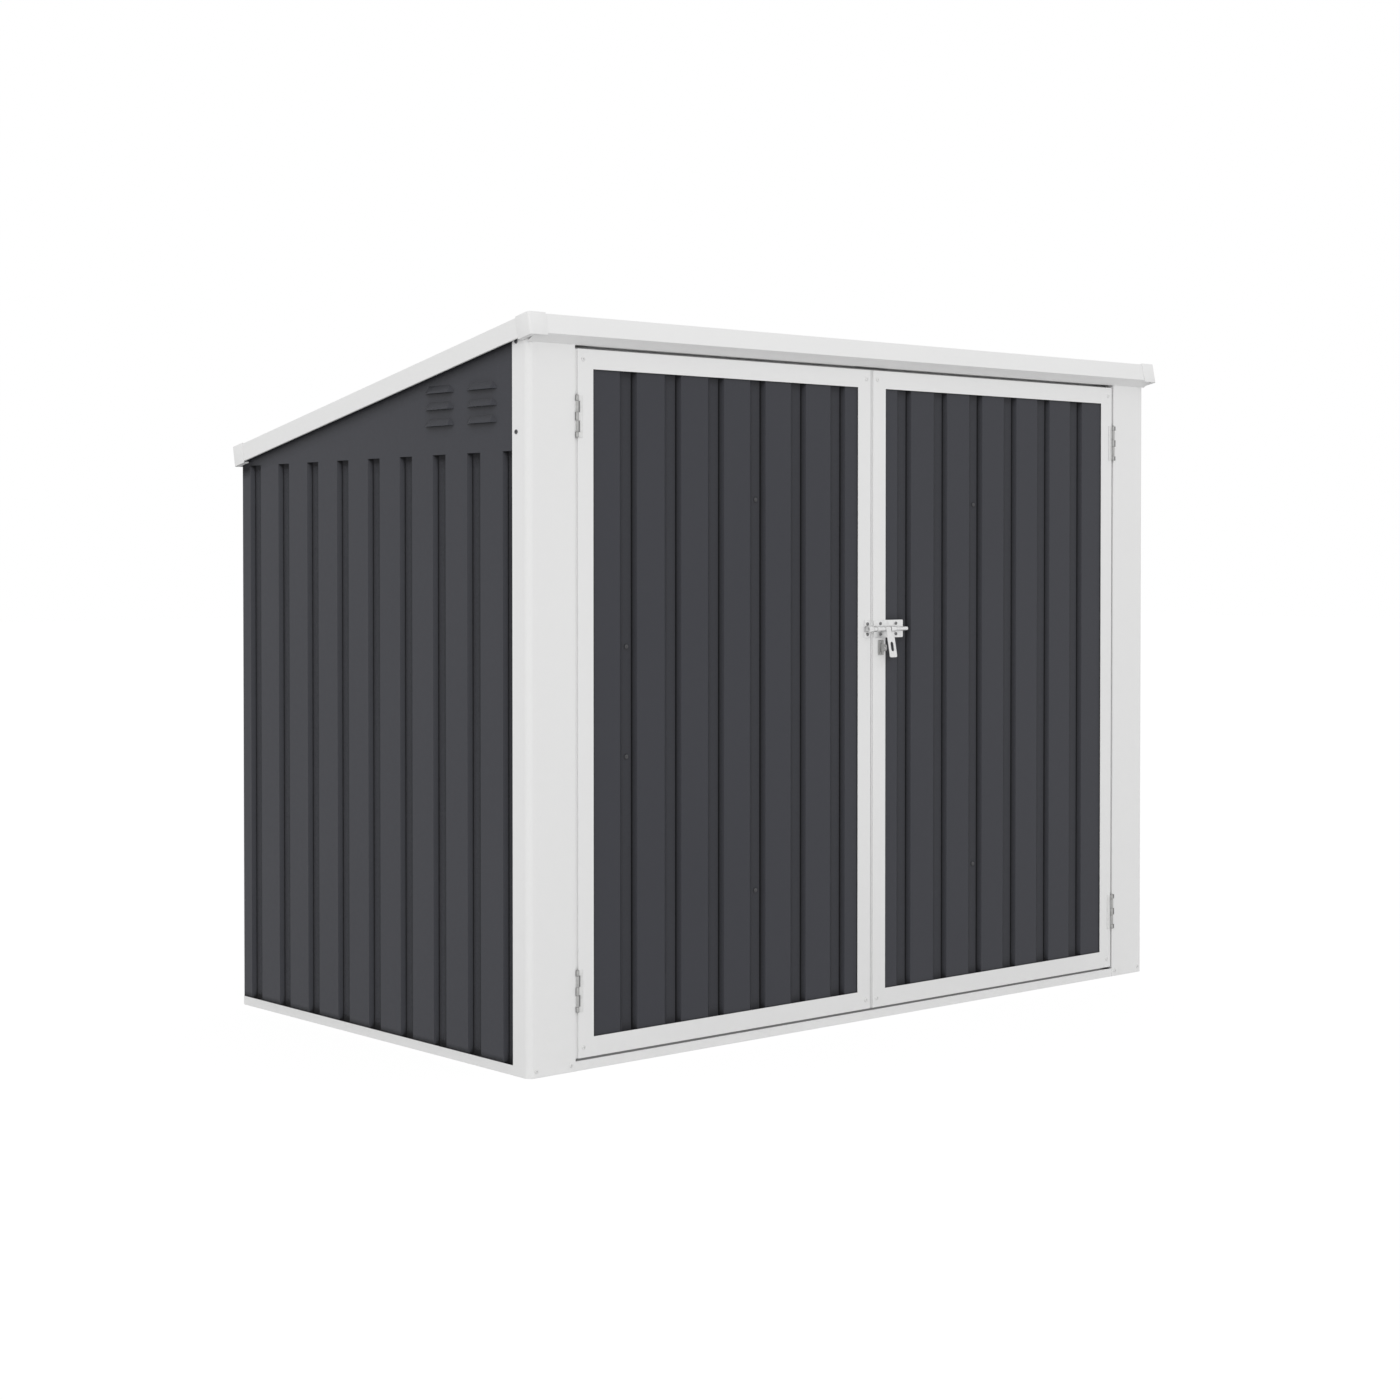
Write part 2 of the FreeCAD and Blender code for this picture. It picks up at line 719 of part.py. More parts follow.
def knuckle_spans():
    """Heights of the door's and the post's knuckles, from the hinge's foot."""
    door = []
    post = []
    z = -hinge_height / 2
    for index, length in enumerate(door_knuckles):
        door.append((z, z + length))
        z += length + knuckle_gap
        if index < len(door_knuckles) - 1:
            post.append((z, z + post_knuckle))
            z += post_knuckle + knuckle_gap
    return door, post


def left_hinge():
    """Post leaf, door leaf and pin of a hinge on the left jamb."""
    axis_x = -hinge_axis_x
    axis_y = -hinge_axis_proud

    def round_bar(radius, span):
        """Bar on the hinge's axis."""
        return cylinder(radius, FreeCAD.Vector(axis_x, axis_y, span[0]), Z_AXIS, span[1] - span[0])

    door_spans, post_spans = knuckle_spans()
    whole = (-hinge_height / 2, hinge_height / 2)
    leaf = block((-jamb_x, -jamb_x + leaf_t), (axis_y + post_leaf_clear, post_leaf_depth), whole)
    post_parts = [leaf]
    for span in post_spans:
        post_parts.append(round_bar(barrel_r, span))
        post_parts.append(block((-jamb_x, -jamb_x + leaf_t), (axis_y, axis_y + post_leaf_clear), span))
    post_leaf = joined(post_parts).cut(round_bar(pin_r - pin_press, whole))

    face = block((-door_hinge_x, -door_hinge_x + door_leaf_width), (-leaf_t, 0), whole)
    door_parts = [face]
    for span in door_spans:
        door_parts.append(round_bar(barrel_r, span))
        door_parts.append(block((axis_x + pin_r, -door_hinge_x), (-leaf_t, 0), span))
    door_leaf = joined(door_parts).cut(round_bar(pin_r + pin_running_gap, whole))

    head_z = whole[1] + knuckle_gap
    pin = joined([round_bar(pin_r, (whole[0], head_z)), round_bar(pin_head_r, (head_z, head_z + pin_head_t))])
    return post_leaf, door_leaf, pin


# Doors: the left one is drawn, and the right one is its mirror

def left_door_frame():
    """Two stiles and two rails, each a front face with a return and a lip behind.

    Behind its face a stile steps out into the gap beside the door.
    """
    frame = {}
    for name, outer, sign, rebate in (("hinge_stile", -door_hinge_x, 1, hinge_rebate),
                                      ("meeting_stile", -door_meeting_x, -1, meeting_rebate)):
        behind = outer - sign * rebate
        path = [(outer + sign * door_member, 0), (outer, 0), (outer, rebate_depth), (behind, rebate_depth),
                (behind, door_thick), (outer + sign * member_lip, door_thick)]
        path = path[::-1] if sign > 0 else path
        stile = prism(folded(path, frame_t), "XY", (door_foot_z, door_head_z))
        frame[name] = bored(stile, corner_screw_places(), screw_r + screw_hole_gap, Y_AXIS)
    start = -door_hinge_x + door_member
    end = -door_meeting_x - door_member
    for name, outer, sign in (("bottom_rail", door_foot_z, 1), ("top_rail", door_head_z, -1)):
        path = [(0, outer + sign * door_member), (0, outer), (door_thick, outer),
                (door_thick, outer + sign * member_lip)]
        path = path[::-1] if sign < 0 else path
        parts = [prism(folded(path, frame_t), "YZ", (start, end))]
        tab_z = sorted((outer + sign * tab_margin, outer + sign * (door_member - tab_margin)))
        for inner, way in ((start, 1), (end, -1)):
            tab_x = sorted((inner - way * tab_length, inner + way * tab_hold))
            parts.append(block(tab_x, (frame_t, 2 * frame_t), tab_z))
        frame[name] = bored(joined(parts), corner_screw_places(), screw_r + screw_hole_gap, Y_AXIS)
    return frame


def door_sheets(side):
    """Grooved sheets of the left (-1) or right (1) door, lapped on a groove."""
    centres = sorted(side * place for place in door_groove_centres())
    ends = sorted((side * (door_hinge_x - frame_t), side * (door_meeting_x + frame_t)))
    seam = centres.index(side * door_groove_centres()[seam_groove_count])
    foot = door_foot_z + frame_t
    sheets = grooved_sheets(ends[0], ends[1], centres, door_head_z - frame_t - foot, seam=seam)
    holes = seam_screw_places(side) + (spare_screw_places() if side < 0 else [])
    holes += [FreeCAD.Vector(-side * place.x, place.y, place.z) for place in corner_screw_places()]
    made = []
    for sheet in sheets:
        sheet.translate(FreeCAD.Vector(0, door_sheet_y, foot))
        cut = bored(sheet, holes, screw_r + screw_hole_gap, Y_AXIS)
        made.append(bored(cut, latch_screw_places(side), latch_screw_r + screw_hole_gap, Y_AXIS))
    return made


def left_door_braces():
    """Channels across the back of the sheets, between the stiles."""
    back_y = door_thick - frame_t
    front_y = door_sheet_y + groove_back
    ends = (-door_hinge_x - hinge_rebate + frame_t, -door_meeting_x + meeting_rebate - frame_t)
    braces = []
    for z in brace_heights:
        low = z - brace_height / 2
        high = z + brace_height / 2
        path = [(front_y, low), (back_y, low), (back_y, high), (front_y, high)]
        brace = prism(folded(path, frame_t), "YZ", ends)
        braces.append(bored(brace, seam_screw_places(-1), screw_r + screw_hole_gap, Y_AXIS))
    return braces


# Latch

def saddle(span, inner_r, outer_r):
    """Strap that arches over the rod and stands on its plate."""
    start = FreeCAD.Vector(span[0], rod_axis.y, rod_axis.z)
    length = span[1] - span[0]
    legs_y = (rod_axis.y, -plate_t)
    arch = joined([
        cylinder(outer_r, start, X_AXIS, length),
        block(span, legs_y, (latch_z - outer_r, latch_z + outer_r))])
    tunnel = joined([
        cylinder(inner_r, start, X_AXIS, length),
        block(span, legs_y, (latch_z - inner_r, latch_z + inner_r))])
    behind = block(span, (-plate_t, 2 * outer_r), (latch_z - 2 * outer_r, latch_z + 2 * outer_r))
    return arch.cut([tunnel, behind])


def bolt_plate():
    """Plate on the right door with two guides for the rod."""
    start = door_meeting_x + plate_from_edge
    half = plate_height / 2
    parts = [block((start, start + plate_length), (-plate_t, 0), (latch_z - half, latch_z + half))]
    for guide in (guide_near, guide_far):
        parts.append(saddle((door_meeting_x + guide[0], door_meeting_x + guide[1]), guide_r, guide_outer_r))
    return bored(joined(parts), plate_screw_places(), latch_screw_r + screw_hole_gap, Y_AXIS)


def bolt_keeper():
    """Plate with one strap on the left door."""
    end = -door_meeting_x - keeper_from_edge
    half = plate_height / 2
    plate = block((end - keeper_width, end), (-plate_t, 0), (latch_z - half, latch_z + half))
    middle = end - keeper_width / 2
    strap = saddle((middle - keeper_saddle / 2, middle + keeper_saddle / 2), keeper_r, keeper_outer_r)
    return bored(joined([plate, strap]), keeper_screw_places(), latch_screw_r + screw_hole_gap, Y_AXIS)


def tab_start():
    """Edge of the hasp tab nearest the keeper."""
    return door_meeting_x + eye_from_edge


def staple_x():
    """Middle of the staple: where the hasp's slot comes when the bolt is thrown."""
    return tab_start() + tab_width / 2 - bolt_throw


def padlock_staple():
    """Plate with a drilled lug, on which the thrown hasp closes."""
    centre_x = staple_x()
    centre_z = latch_z - staple_drop
    half_w = staple_plate_width / 2
    half_h = staple_plate_height / 2
    plate = block((centre_x - half_w, centre_x + half_w), (-staple_plate_t, 0),
                  (centre_z - half_h, centre_z + half_h))
    lug_x = (centre_x - lug_t / 2, centre_x + lug_t / 2)
    lug = block(lug_x, (-lug_reach, 0), (centre_z - lug_height / 2, centre_z + lug_height / 2))
    eye = FreeCAD.Vector(centre_x, -lug_hole_reach, centre_z)
    staple = bored(joined([plate, lug]), [eye], lug_hole_r, X_AXIS)
    return bored(staple, staple_screw_places(), latch_screw_r + screw_hole_gap, Y_AXIS)


def bolt_rod():
    """Round rod with a collar on each side of the hasp's eye."""
    tip = door_meeting_x - rod_tip_reach
    rod = cylinder(rod_r, FreeCAD.Vector(tip, rod_axis.y, rod_axis.z), X_AXIS, rod_length)
    rings = [edge for edge in rod.Edges if edge.Closed and len(edge.Vertexes) == 1]
    rod = rod.makeChamfer(rod_chamfer, rings)
    eye = (tab_start(), tab_start() + eye_length)
    collars = [cylinder(collar_r, FreeCAD.Vector(x, rod_axis.y, rod_axis.z), X_AXIS, collar_t)
               for x in (eye[0] - eye_side_gap - collar_t, eye[1] + eye_side_gap)]
    return joined([rod] + collars)


def hasp_tab():
    """Slotted tab that hangs on the rod by an eye, leaning out."""
    start = tab_start()
    front = rod_axis.y - eye_r
    eye = cylinder(eye_r, FreeCAD.Vector(start, rod_axis.y, rod_axis.z), X_AXIS, eye_length)
    low = latch_z - tab_reach
    shoulder = latch_z - tab_shoulder
    outline = [(start, latch_z), (start, low + tab_corner), (start + tab_corner, low),
               (start + tab_width - tab_corner, low), (start + tab_width, low + tab_corner),
               (start + tab_width, shoulder), (start + eye_length, shoulder), (start + eye_length, latch_z)]
    plate = prism(outline, "XZ", (front, front + tab_plate_t))
    middle = start + tab_width / 2
    slot_r = tab_slot_width / 2
    ends_z = (latch_z - tab_slot_to + slot_r, latch_z - tab_slot_from - slot_r)
    through_y = (front - tab_plate_t, front + 2 * tab_plate_t)
    slot_parts = [block((middle - slot_r, middle + slot_r), through_y, ends_z)]
    for z in ends_z:
        end = FreeCAD.Vector(middle, through_y[0], z)
        slot_parts.append(cylinder(slot_r, end, Y_AXIS, through_y[1] - through_y[0]))
    bore_start = FreeCAD.Vector(start, rod_axis.y, rod_axis.z)
    bore = cylinder(rod_r + eye_running_gap, bore_start, X_AXIS, eye_length)
    tab = joined([eye, plate]).cut([joined(slot_parts), bore])
    tab.rotate(rod_axis, X_AXIS, -hasp_lean_deg)
    return tab


def all_pieces():
    """Every piece of the store, by name."""
    pieces = {}
    pieces.update(base_rails())
    post = left_front_post()
    pieces.update({"front_post_left": post, "front_post_right": mirrored(post)})
    angle = left_rear_angle()
    pieces.update({"rear_corner_left": angle, "rear_corner_right": mirrored(angle)})
    wall = left_wall_sheet()
    pieces.update({"wall_sheet_left": wall, "wall_sheet_right": mirrored(wall)})
    for name, sheet in zip(("rear_sheet_right", "rear_sheet_left"), rear_wall_sheets()):
        pieces[name] = sheet
    pieces.update(top_rails())
    pieces.update(roof_deck())
    pieces.update(roof_trims())
    for end, corner_u, inward in (("front", roof_front_u, 1), ("rear", roof_rear_u, -1)):
        cap = roof_cap(corner_u, inward)
        pieces[f"roof_cap_{end}_left"] = cap
        pieces[f"roof_cap_{end}_right"] = mirrored(cap)

    post_leaf, door_leaf, pin = left_hinge()
    pins = []
    for level, z in zip(("lower", "upper"), hinge_centres):
        lift = FreeCAD.Vector(0, 0, z)
        for role, leaf in (("post", post_leaf), ("door", door_leaf)):
            placed = leaf.translated(lift)
            pieces[f"{role}_hinge_leaf_left_{level}"] = placed
            pieces[f"{role}_hinge_leaf_right_{level}"] = mirrored(placed)
        pins += [pin.translated(lift), mirrored(pin.translated(lift))]
    pieces["hinge_pins"] = Part.makeCompound(pins)

    left_places = post_screw_places()
    sides = screws(left_places, X_AXIS, screw_length)
    feet = screws(foot_screw_places(), Y_AXIS, screw_length)
    rear = screws(rear_screw_places(), Y_AXIS * -1, screw_length)
    pieces["carcass_screws"] = Part.makeCompound(
        sides + feet + [mirrored(screw) for screw in sides + feet] + rear)

    frame = left_door_frame()
    braces = left_door_braces()
    for side, sign in (("left", -1), ("right", 1)):
        for name, member in frame.items():
            placed = member if sign < 0 else mirrored(member)
            if name == "meeting_stile":
                placed = bored(placed, latch_screw_places(sign), latch_screw_r + screw_hole_gap, Y_AXIS)
            pieces[f"{side}_door_{name}"] = placed
        for name, sheet in zip(("sheet_a", "sheet_b"), door_sheets(sign)):
            pieces[f"{side}_door_{name}"] = sheet
        for level, brace in zip(("lower", "upper"), braces):
            pieces[f"{side}_door_brace_{level}"] = brace if sign < 0 else mirrored(brace)
        corners = screws(corner_screw_places(), Y_AXIS, screw_length)
        corners = corners if sign < 0 else [mirrored(screw) for screw in corners]
        seams = screws(seam_screw_places(sign), Y_AXIS, long_screw_length)
        spare = screws(spare_screw_places(), Y_AXIS, screw_length) if sign < 0 else []
        latch = screws(latch_screw_places(sign), Y_AXIS, latch_screw_length,
                       latch_screw_head_r, latch_screw_r)
        pieces[f"{side}_door_screws"] = Part.makeCompound(corners + seams + spare + latch)

    pieces["bolt_keeper"] = bolt_keeper()
    pieces["bolt_plate"] = bolt_plate()
    pieces["padlock_staple"] = padlock_staple()
    pieces["bolt_rod"] = bolt_rod()
    pieces["hasp_tab"] = hasp_tab()
    return pieces


def main():
    """Centre the pieces over the origin and write one file for each."""
    os.makedirs("parts", exist_ok=True)
    pieces = all_pieces()
    box = Part.makeCompound(list(pieces.values())).BoundBox
    shift = FreeCAD.Vector(0, -(box.YMin + box.YMax) / 2, 0)
    for name, shape in pieces.items():
        shape.translated(shift).exportStep(os.path.join("parts", name + ".step"))
    print(len(pieces), "pieces; moved along Y by", round(shift.y, 4))
    print("size", [round(length, 2) for length in (box.XLength, box.YLength, box.ZLength)])


main()
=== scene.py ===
"""Looks of a two-door steel bin store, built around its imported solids."""

import json
import logging
import math
from dataclasses import dataclass, replace
from enum import Enum
from typing import Any, Callable, Dict, Iterable, List, Optional, Sequence, Tuple, Union

import bmesh
import bpy
from mathutils import Matrix, Vector

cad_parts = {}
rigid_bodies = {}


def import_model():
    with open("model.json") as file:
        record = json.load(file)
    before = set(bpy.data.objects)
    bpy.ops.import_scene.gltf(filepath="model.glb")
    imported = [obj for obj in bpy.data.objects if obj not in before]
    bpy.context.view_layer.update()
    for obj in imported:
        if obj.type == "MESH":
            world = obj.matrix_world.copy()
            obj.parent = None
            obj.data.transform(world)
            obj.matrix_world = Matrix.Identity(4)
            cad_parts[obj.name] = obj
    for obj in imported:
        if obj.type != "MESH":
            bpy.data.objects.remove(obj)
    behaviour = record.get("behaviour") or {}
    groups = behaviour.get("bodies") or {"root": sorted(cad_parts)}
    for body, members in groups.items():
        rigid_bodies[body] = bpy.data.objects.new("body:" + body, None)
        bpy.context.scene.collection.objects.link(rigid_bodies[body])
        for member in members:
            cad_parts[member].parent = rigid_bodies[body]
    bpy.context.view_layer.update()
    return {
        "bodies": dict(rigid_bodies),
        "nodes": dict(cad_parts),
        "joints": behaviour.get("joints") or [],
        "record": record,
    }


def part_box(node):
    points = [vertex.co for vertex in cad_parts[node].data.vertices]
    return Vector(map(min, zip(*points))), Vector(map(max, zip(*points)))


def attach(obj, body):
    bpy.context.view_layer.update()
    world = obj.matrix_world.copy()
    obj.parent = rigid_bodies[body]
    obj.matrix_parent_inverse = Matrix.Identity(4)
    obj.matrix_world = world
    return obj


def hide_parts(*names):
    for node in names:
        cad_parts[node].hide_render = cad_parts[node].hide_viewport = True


LOG = logging.getLogger("bin_store")
Span = Tuple[float, float]
Spans = Tuple[Span, ...]
Point = Tuple[float, float, float]
Colour = Tuple[float, float, float]
Value = Union["Sock", float, Tuple[float, ...]]
Key = Union[str, int]
Test = Callable[[Vector, Vector], bool]
Owner = Union[bpy.types.Material, bpy.types.World]
MM = 0.001
# A normal or an edge runs along an axis past this share of it.
ALONG = 0.9
# Millimetres, or the share of an axis, within which a value counts as the one looked for.
NEAR = 0.1
WHITE: Colour = (1.0, 1.0, 1.0)
X_AXIS: Point = (1.0, 0.0, 0.0)
Z_AXIS: Point = (0.0, 0.0, 1.0)


def about(middle: float, half: float) -> Span:
    """The span that reaches a half width to each side of a middle."""
    return middle - half, middle + half


def within(value: float, spans: Sequence[Span]) -> bool:
    """Whether a value lies in one of the spans."""
    return any(low < value < high for low, high in spans)


class Sock:
    """An output of a node, on which Python's operators add Math nodes."""

    def __init__(self, tree: "Tree", socket: bpy.types.NodeSocket) -> None:
        """Hold a socket and the tree that it belongs to."""
        self.tree = tree
        self.socket = socket

    def math(self, operation: str, other: Value = 0.0) -> "Sock":
        """Add a Math node that takes this output first, and give its result."""
        return self.tree.node("ShaderNodeMath", {"operation": operation}, {0: self, 1: other})

    def __add__(self, other: Value) -> "Sock":
        """Sum."""
        return self.math("ADD", other)

    __radd__ = __add__

    def __sub__(self, other: Value) -> "Sock":
        """Difference."""
        return self.math("SUBTRACT", other)

    def __rsub__(self, other: Value) -> "Sock":
        """Difference from a number."""
        return self.tree.node("ShaderNodeMath", {"operation": "SUBTRACT"}, {0: other, 1: self})

    def __mul__(self, other: Value) -> "Sock":
        """Product."""
        return self.math("MULTIPLY", other)

    __rmul__ = __mul__

    def band(self, low: float, high: float) -> "Sock":
        """Smooth step from 0 at low to 1 at high."""
        return self.tree.node("ShaderNodeMapRange", {"interpolation_type": "SMOOTHSTEP"},
                              {"Value": self, "From Min": low, "From Max": high})


class Tree:
    """The nodes of a material or of the world."""

    def __init__(self, owner: Owner, output: str = "ShaderNodeOutputMaterial") -> None:
        """Empty the owner's nodes and add its output."""
        owner.use_nodes = True
        self.owner = owner
        self.nodes = owner.node_tree.nodes
        self.links = owner.node_tree.links
        self.nodes.clear()
        self.output = self.nodes.new(output)

    @classmethod
    def named(cls, name: str) -> "Tree":
        """Start a new material."""
        return cls(bpy.data.materials.new(name))

    def node(self, kind: str, settings: Optional[Dict[str, Any]] = None,
             inputs: Optional[Dict[Key, Value]] = None, out: Key = 0) -> Sock:
        """Add a node.

        Args:
            kind: the node's type.
            settings: its properties, set first.
            inputs: values or links of its sockets.
            out: the output to return.

        Returns:
            That output.
        """
        made = self.nodes.new(kind)
        for key, value in (settings or {}).items():
            setattr(made, key, value)
        for key, value in (inputs or {}).items():
            socket = made.inputs[key]
            if isinstance(value, Sock):
                self.links.new(value.socket, socket)
            else:
                socket.default_value = (*value, 1.0) if socket.type == "RGBA" else value
        return Sock(self, made.outputs[out])

    def close(self, shader: Sock) -> Owner:
        """Link a shader to the output and give the material or world."""
        self.links.new(shader.socket, self.output.inputs["Surface"])
        return self.owner

    def place(self) -> Sock:
        """Object coordinates."""
        return self.node("ShaderNodeTexCoord", out="Object")

    def part(self, vector: Sock, axis: str) -> Sock:
        """One coordinate of a vector."""
        return self.node("ShaderNodeSeparateXYZ", None, {0: vector}, axis)

    def at(self, axis: str) -> Sock:
        """One Object coordinate of the shaded point."""
        return self.part(self.place(), axis)

    def facing(self, axis: str) -> Sock:
        """How far a face looks along an axis, either way: 1 straight along it, 0 beside it."""
        normal = self.node("ShaderNodeTexCoord", out="Normal")
        return self.part(normal, axis).math("ABSOLUTE")

    def leaning(self, low: float, high: float) -> Sock:
        """1 on faces that are turned sideways by that much, as the walls of a groove are."""
        most = self.facing("X").math("MAXIMUM", self.facing("Y"))
        return most.math("GREATER_THAN", low) * most.math("LESS_THAN", high)

    def noise(self, scale: float, detail: float, stretch: Optional[Point] = None) -> Sock:
        """Noise on Object coordinates.

        Args:
            scale: cells per metre.
            detail: octaves.
            stretch: scale of each axis, for grain that runs one way.

        Returns:
            The noise, about 0.5 on average.
        """
        vector = self.place()
        if stretch:
            vector = self.node("ShaderNodeMapping", None, {"Vector": vector, "Scale": stretch})
        return self.node("ShaderNodeTexNoise", None,
                         {"Vector": vector, "Scale": scale, "Detail": detail})

    def crevice(self, reach: float) -> Sock:
        """How far a point is shut in within a reach: 0 in the open, towards 1 in a fold."""
        return 1.0 - self.node("ShaderNodeAmbientOcclusion", {"samples": 8},
                               {"Distance": reach}, "AO")

    def seen(self) -> Sock:
        """1 for rays that see the background straight, off metal or through glass, else 0."""
        camera, glossy, through = (self.node("ShaderNodeLightPath", out=f"Is {ray} Ray")
                                   for ray in ("Camera", "Glossy", "Transmission"))
        return camera.math("MAXIMUM", glossy.math("MAXIMUM", through))

    def mix(self, share: Value, first: Value, second: Value) -> Sock:
        """Blend two colours: the first at share 0, the second at 1."""
        # By number, because this node has several sockets of each name.
        return self.node("ShaderNodeMix", {"data_type": "RGBA"},
                         {0: share, 6: first, 7: second}, 2)

    def bump(self, height: Sock, depth: float) -> Sock:
        """Normal of a relief from 0 to 1 of that depth in metres."""
        return self.node("ShaderNodeBump", None,
                         {"Strength": 1.0, "Distance": depth, "Height": height})

    def surface(self, **inputs: Value) -> bpy.types.Material:
        """Finish with a Principled shader, whose sockets are named with underscores."""
        named = {key.replace("_", " "): value for key, value in inputs.items()}
        return self.close(self.node("ShaderNodeBsdfPrincipled", None, named))


@dataclass(frozen=True)
class PaintFinish:
    """Baked paint: orange-peel skin, drifting tone, a little dust low down, painted shade in folds.

    The painted shade is a dark tone mixed in where ambient occlusion finds a fold. On grooved
    sheets it darkens and dulls the creases, and the lips beside them get painted light, a
    lighter tone. The side walls' grooves get more painted shade on their floors, up to
    side_top, and it starts deeper down their walls.
    """

    name: str
    colour: Colour
    shade: Colour
    dust: Colour
    roughness: float
    gloss: float
    peel_scale: float = 900.0
    peel_depth: float = 0.00004
    drift_scale: float = 2.2
    drift_share: float = 0.6
    cloud_scale: float = 38.0
    cloud_share: float = 0.25
    patch_scale: float = 120.0
    patch_range: float = 0.12
    dust_height: float = 0.09
    dust_scale: float = 55.0
    dust_share: float = 0.05
    dust_dulling: float = 0.5
    # Painted shade: the dark tone mixed into folds, crease feet and groove floors, with roughness
    # raised there.
    painted_shade: Colour = (0.009, 0.009, 0.010)
    painted_shade_reach: float = 0.03
    crease_dulling: float = 0.45
    fold_band: Span = (0.0, 0.12)
    fold_share: float = 0.55
    foot_band: Span = (0.19, 0.3)
    foot_share: float = 0.95
    wall_lean: Span = (0.832, 0.88)
    lip_lean: Span = (0.78, 0.832)
    # Painted light: a lighter tone on the lips beside the creases, which lie in natural shade.
    painted_light_tone: Colour = (0.085, 0.087, 0.098)
    painted_light_share: float = 0.8
    # Painted shade: more of the dark tone on the side walls' groove floors, below side_top.
    side_band: Span = (0.0, 0.035)
    side_share: float = 0.8
    side_top: Span = (1.09, 1.11)
    side_delay: float = 0.06

    def material(self) -> bpy.types.Material:
        """Make the material."""
        tree = Tree.named(self.name)
        drift = tree.noise(self.drift_scale, 3.0).band(0.3, 0.7) * self.drift_share
        cloud = tree.noise(self.cloud_scale, 4.0).band(0.35, 0.75) * self.cloud_share
        low = 1.0 - tree.at("Z").band(0.0, self.dust_height)
        settled = low * tree.noise(self.dust_scale, 5.0).band(0.38, 0.72) * self.dust_share
        # Painted shade: ambient occlusion finds the folds, crease feet and side walls' groove
        # floors, which are mixed towards the dark tone.
        fold = tree.crevice(self.painted_shade_reach)
        lip, wall = tree.leaning(*self.lip_lean), tree.leaning(*self.wall_lean)
        flat = fold.band(*self.fold_band) * (1.0 - lip - wall) * self.fold_share
        side = tree.facing("X").band(0.93, 0.97) * (1.0 - tree.at("Z").band(*self.side_top))
        deep = fold.band(*self.side_band) * side * self.side_share
        late = fold - tree.facing("Y").band(0.7, 0.8) * self.side_delay
        foot = late.band(*self.foot_band) * wall * self.foot_share
        paint = tree.mix(drift + cloud, self.colour, self.shade)
        for share in (flat, deep, foot):
            paint = tree.mix(share, paint, self.painted_shade)
        # Painted light: the lips beside the creases are mixed towards a lighter tone.
        paint = tree.mix(lip * self.painted_light_share, paint, self.painted_light_tone)
        rough = tree.noise(self.patch_scale, 3.0) * self.patch_range + settled * self.dust_dulling
        rough = rough + (self.roughness - self.patch_range / 2) + (deep + foot) * self.crease_dulling
        peel = tree.noise(self.peel_scale, 1.0)
        return tree.surface(Base_Color=tree.mix(settled, paint, self.dust), Roughness=rough,
                            Specular_IOR_Level=self.gloss,
                            Normal=tree.bump(peel, self.peel_depth))


@dataclass(frozen=True)
class GalvanisedFinish:
    """Zinc-dipped steel with its spangle of crystals."""

    name: str
    colour: Colour
    shade: Colour
    roughness: float
    metallic: float = 0.85
    spangle: float = 95.0
    cloud_scale: float = 14.0
    depth: float = 0.00003

    def material(self) -> bpy.types.Material:
        """Make the material."""
        tree = Tree.named(self.name)
        crystals = tree.node("ShaderNodeTexVoronoi", None,
                             {"Vector": tree.place(), "Scale": self.spangle}, "Color")
        tone = tree.node("ShaderNodeSeparateColor", None, {0: crystals})
        cloud = tree.noise(self.cloud_scale, 4.0)
        return tree.surface(
            Base_Color=tree.mix(tone * 0.7 + cloud * 0.3, self.colour, self.shade),
            Metallic=self.metallic,
            Roughness=tone * 0.16 + cloud * 0.1 + (self.roughness - 0.13),
            Normal=tree.bump(tone, self.depth))


@dataclass(frozen=True)
class ZincFinish:
    """Zinc plating with fine drawing lines, along X unless the grain says otherwise."""

    name: str
    colour: Colour
    shade: Colour
    roughness: float
    metallic: float
    grain: Point = (0.04, 1.0, 1.0)
    grain_scale: float = 2600.0
    grain_depth: float = 0.00002
    cloud_scale: float = 160.0
    # Painted shade: a dark tone mixed in where ambient occlusion finds crevices, as beside a
    # hinge's barrel.
    painted_shade: Colour = (0.10, 0.10, 0.10)
    painted_shade_reach: float = 0.004
    painted_shade_band: Span = (0.3, 0.7)
    painted_shade_share: float = 0.5

    def material(self) -> bpy.types.Material:
        """Make the material."""
        tree = Tree.named(self.name)
        lines = tree.noise(self.grain_scale, 2.0, self.grain)
        cloud = tree.noise(self.cloud_scale, 4.0).band(0.3, 0.75)
        # Painted shade in the crevices that ambient occlusion finds.
        fold = tree.crevice(self.painted_shade_reach).band(*self.painted_shade_band) * self.painted_shade_share
        plated = tree.mix(cloud, self.colour, self.shade)
        return tree.surface(
            Base_Color=tree.mix(fold, plated, self.painted_shade),
            Metallic=self.metallic,
            Roughness=lines * 0.16 + cloud * 0.12 + (self.roughness - 0.13),
            Normal=tree.bump(lines, self.grain_depth))


@dataclass(frozen=True)
class PlasticFinish:
    """Moulded plastic with a fine spark-eroded grain."""

    name: str
    colour: Colour
    shade: Colour
    roughness: float
    gloss: float = 0.12
    grain_scale: float = 2200.0
    grain_depth: float = 0.00004
    cloud_scale: float = 30.0

    def material(self) -> bpy.types.Material:
        """Make the material."""
        tree = Tree.named(self.name)
        grain = tree.noise(self.grain_scale, 2.0)
        cloud = tree.noise(self.cloud_scale, 3.0).band(0.3, 0.7)
        return tree.surface(
            Base_Color=tree.mix(cloud, self.colour, self.shade),
            Roughness=grain * 0.14 + (self.roughness - 0.07),
            Specular_IOR_Level=self.gloss,
            Normal=tree.bump(grain, self.grain_depth))


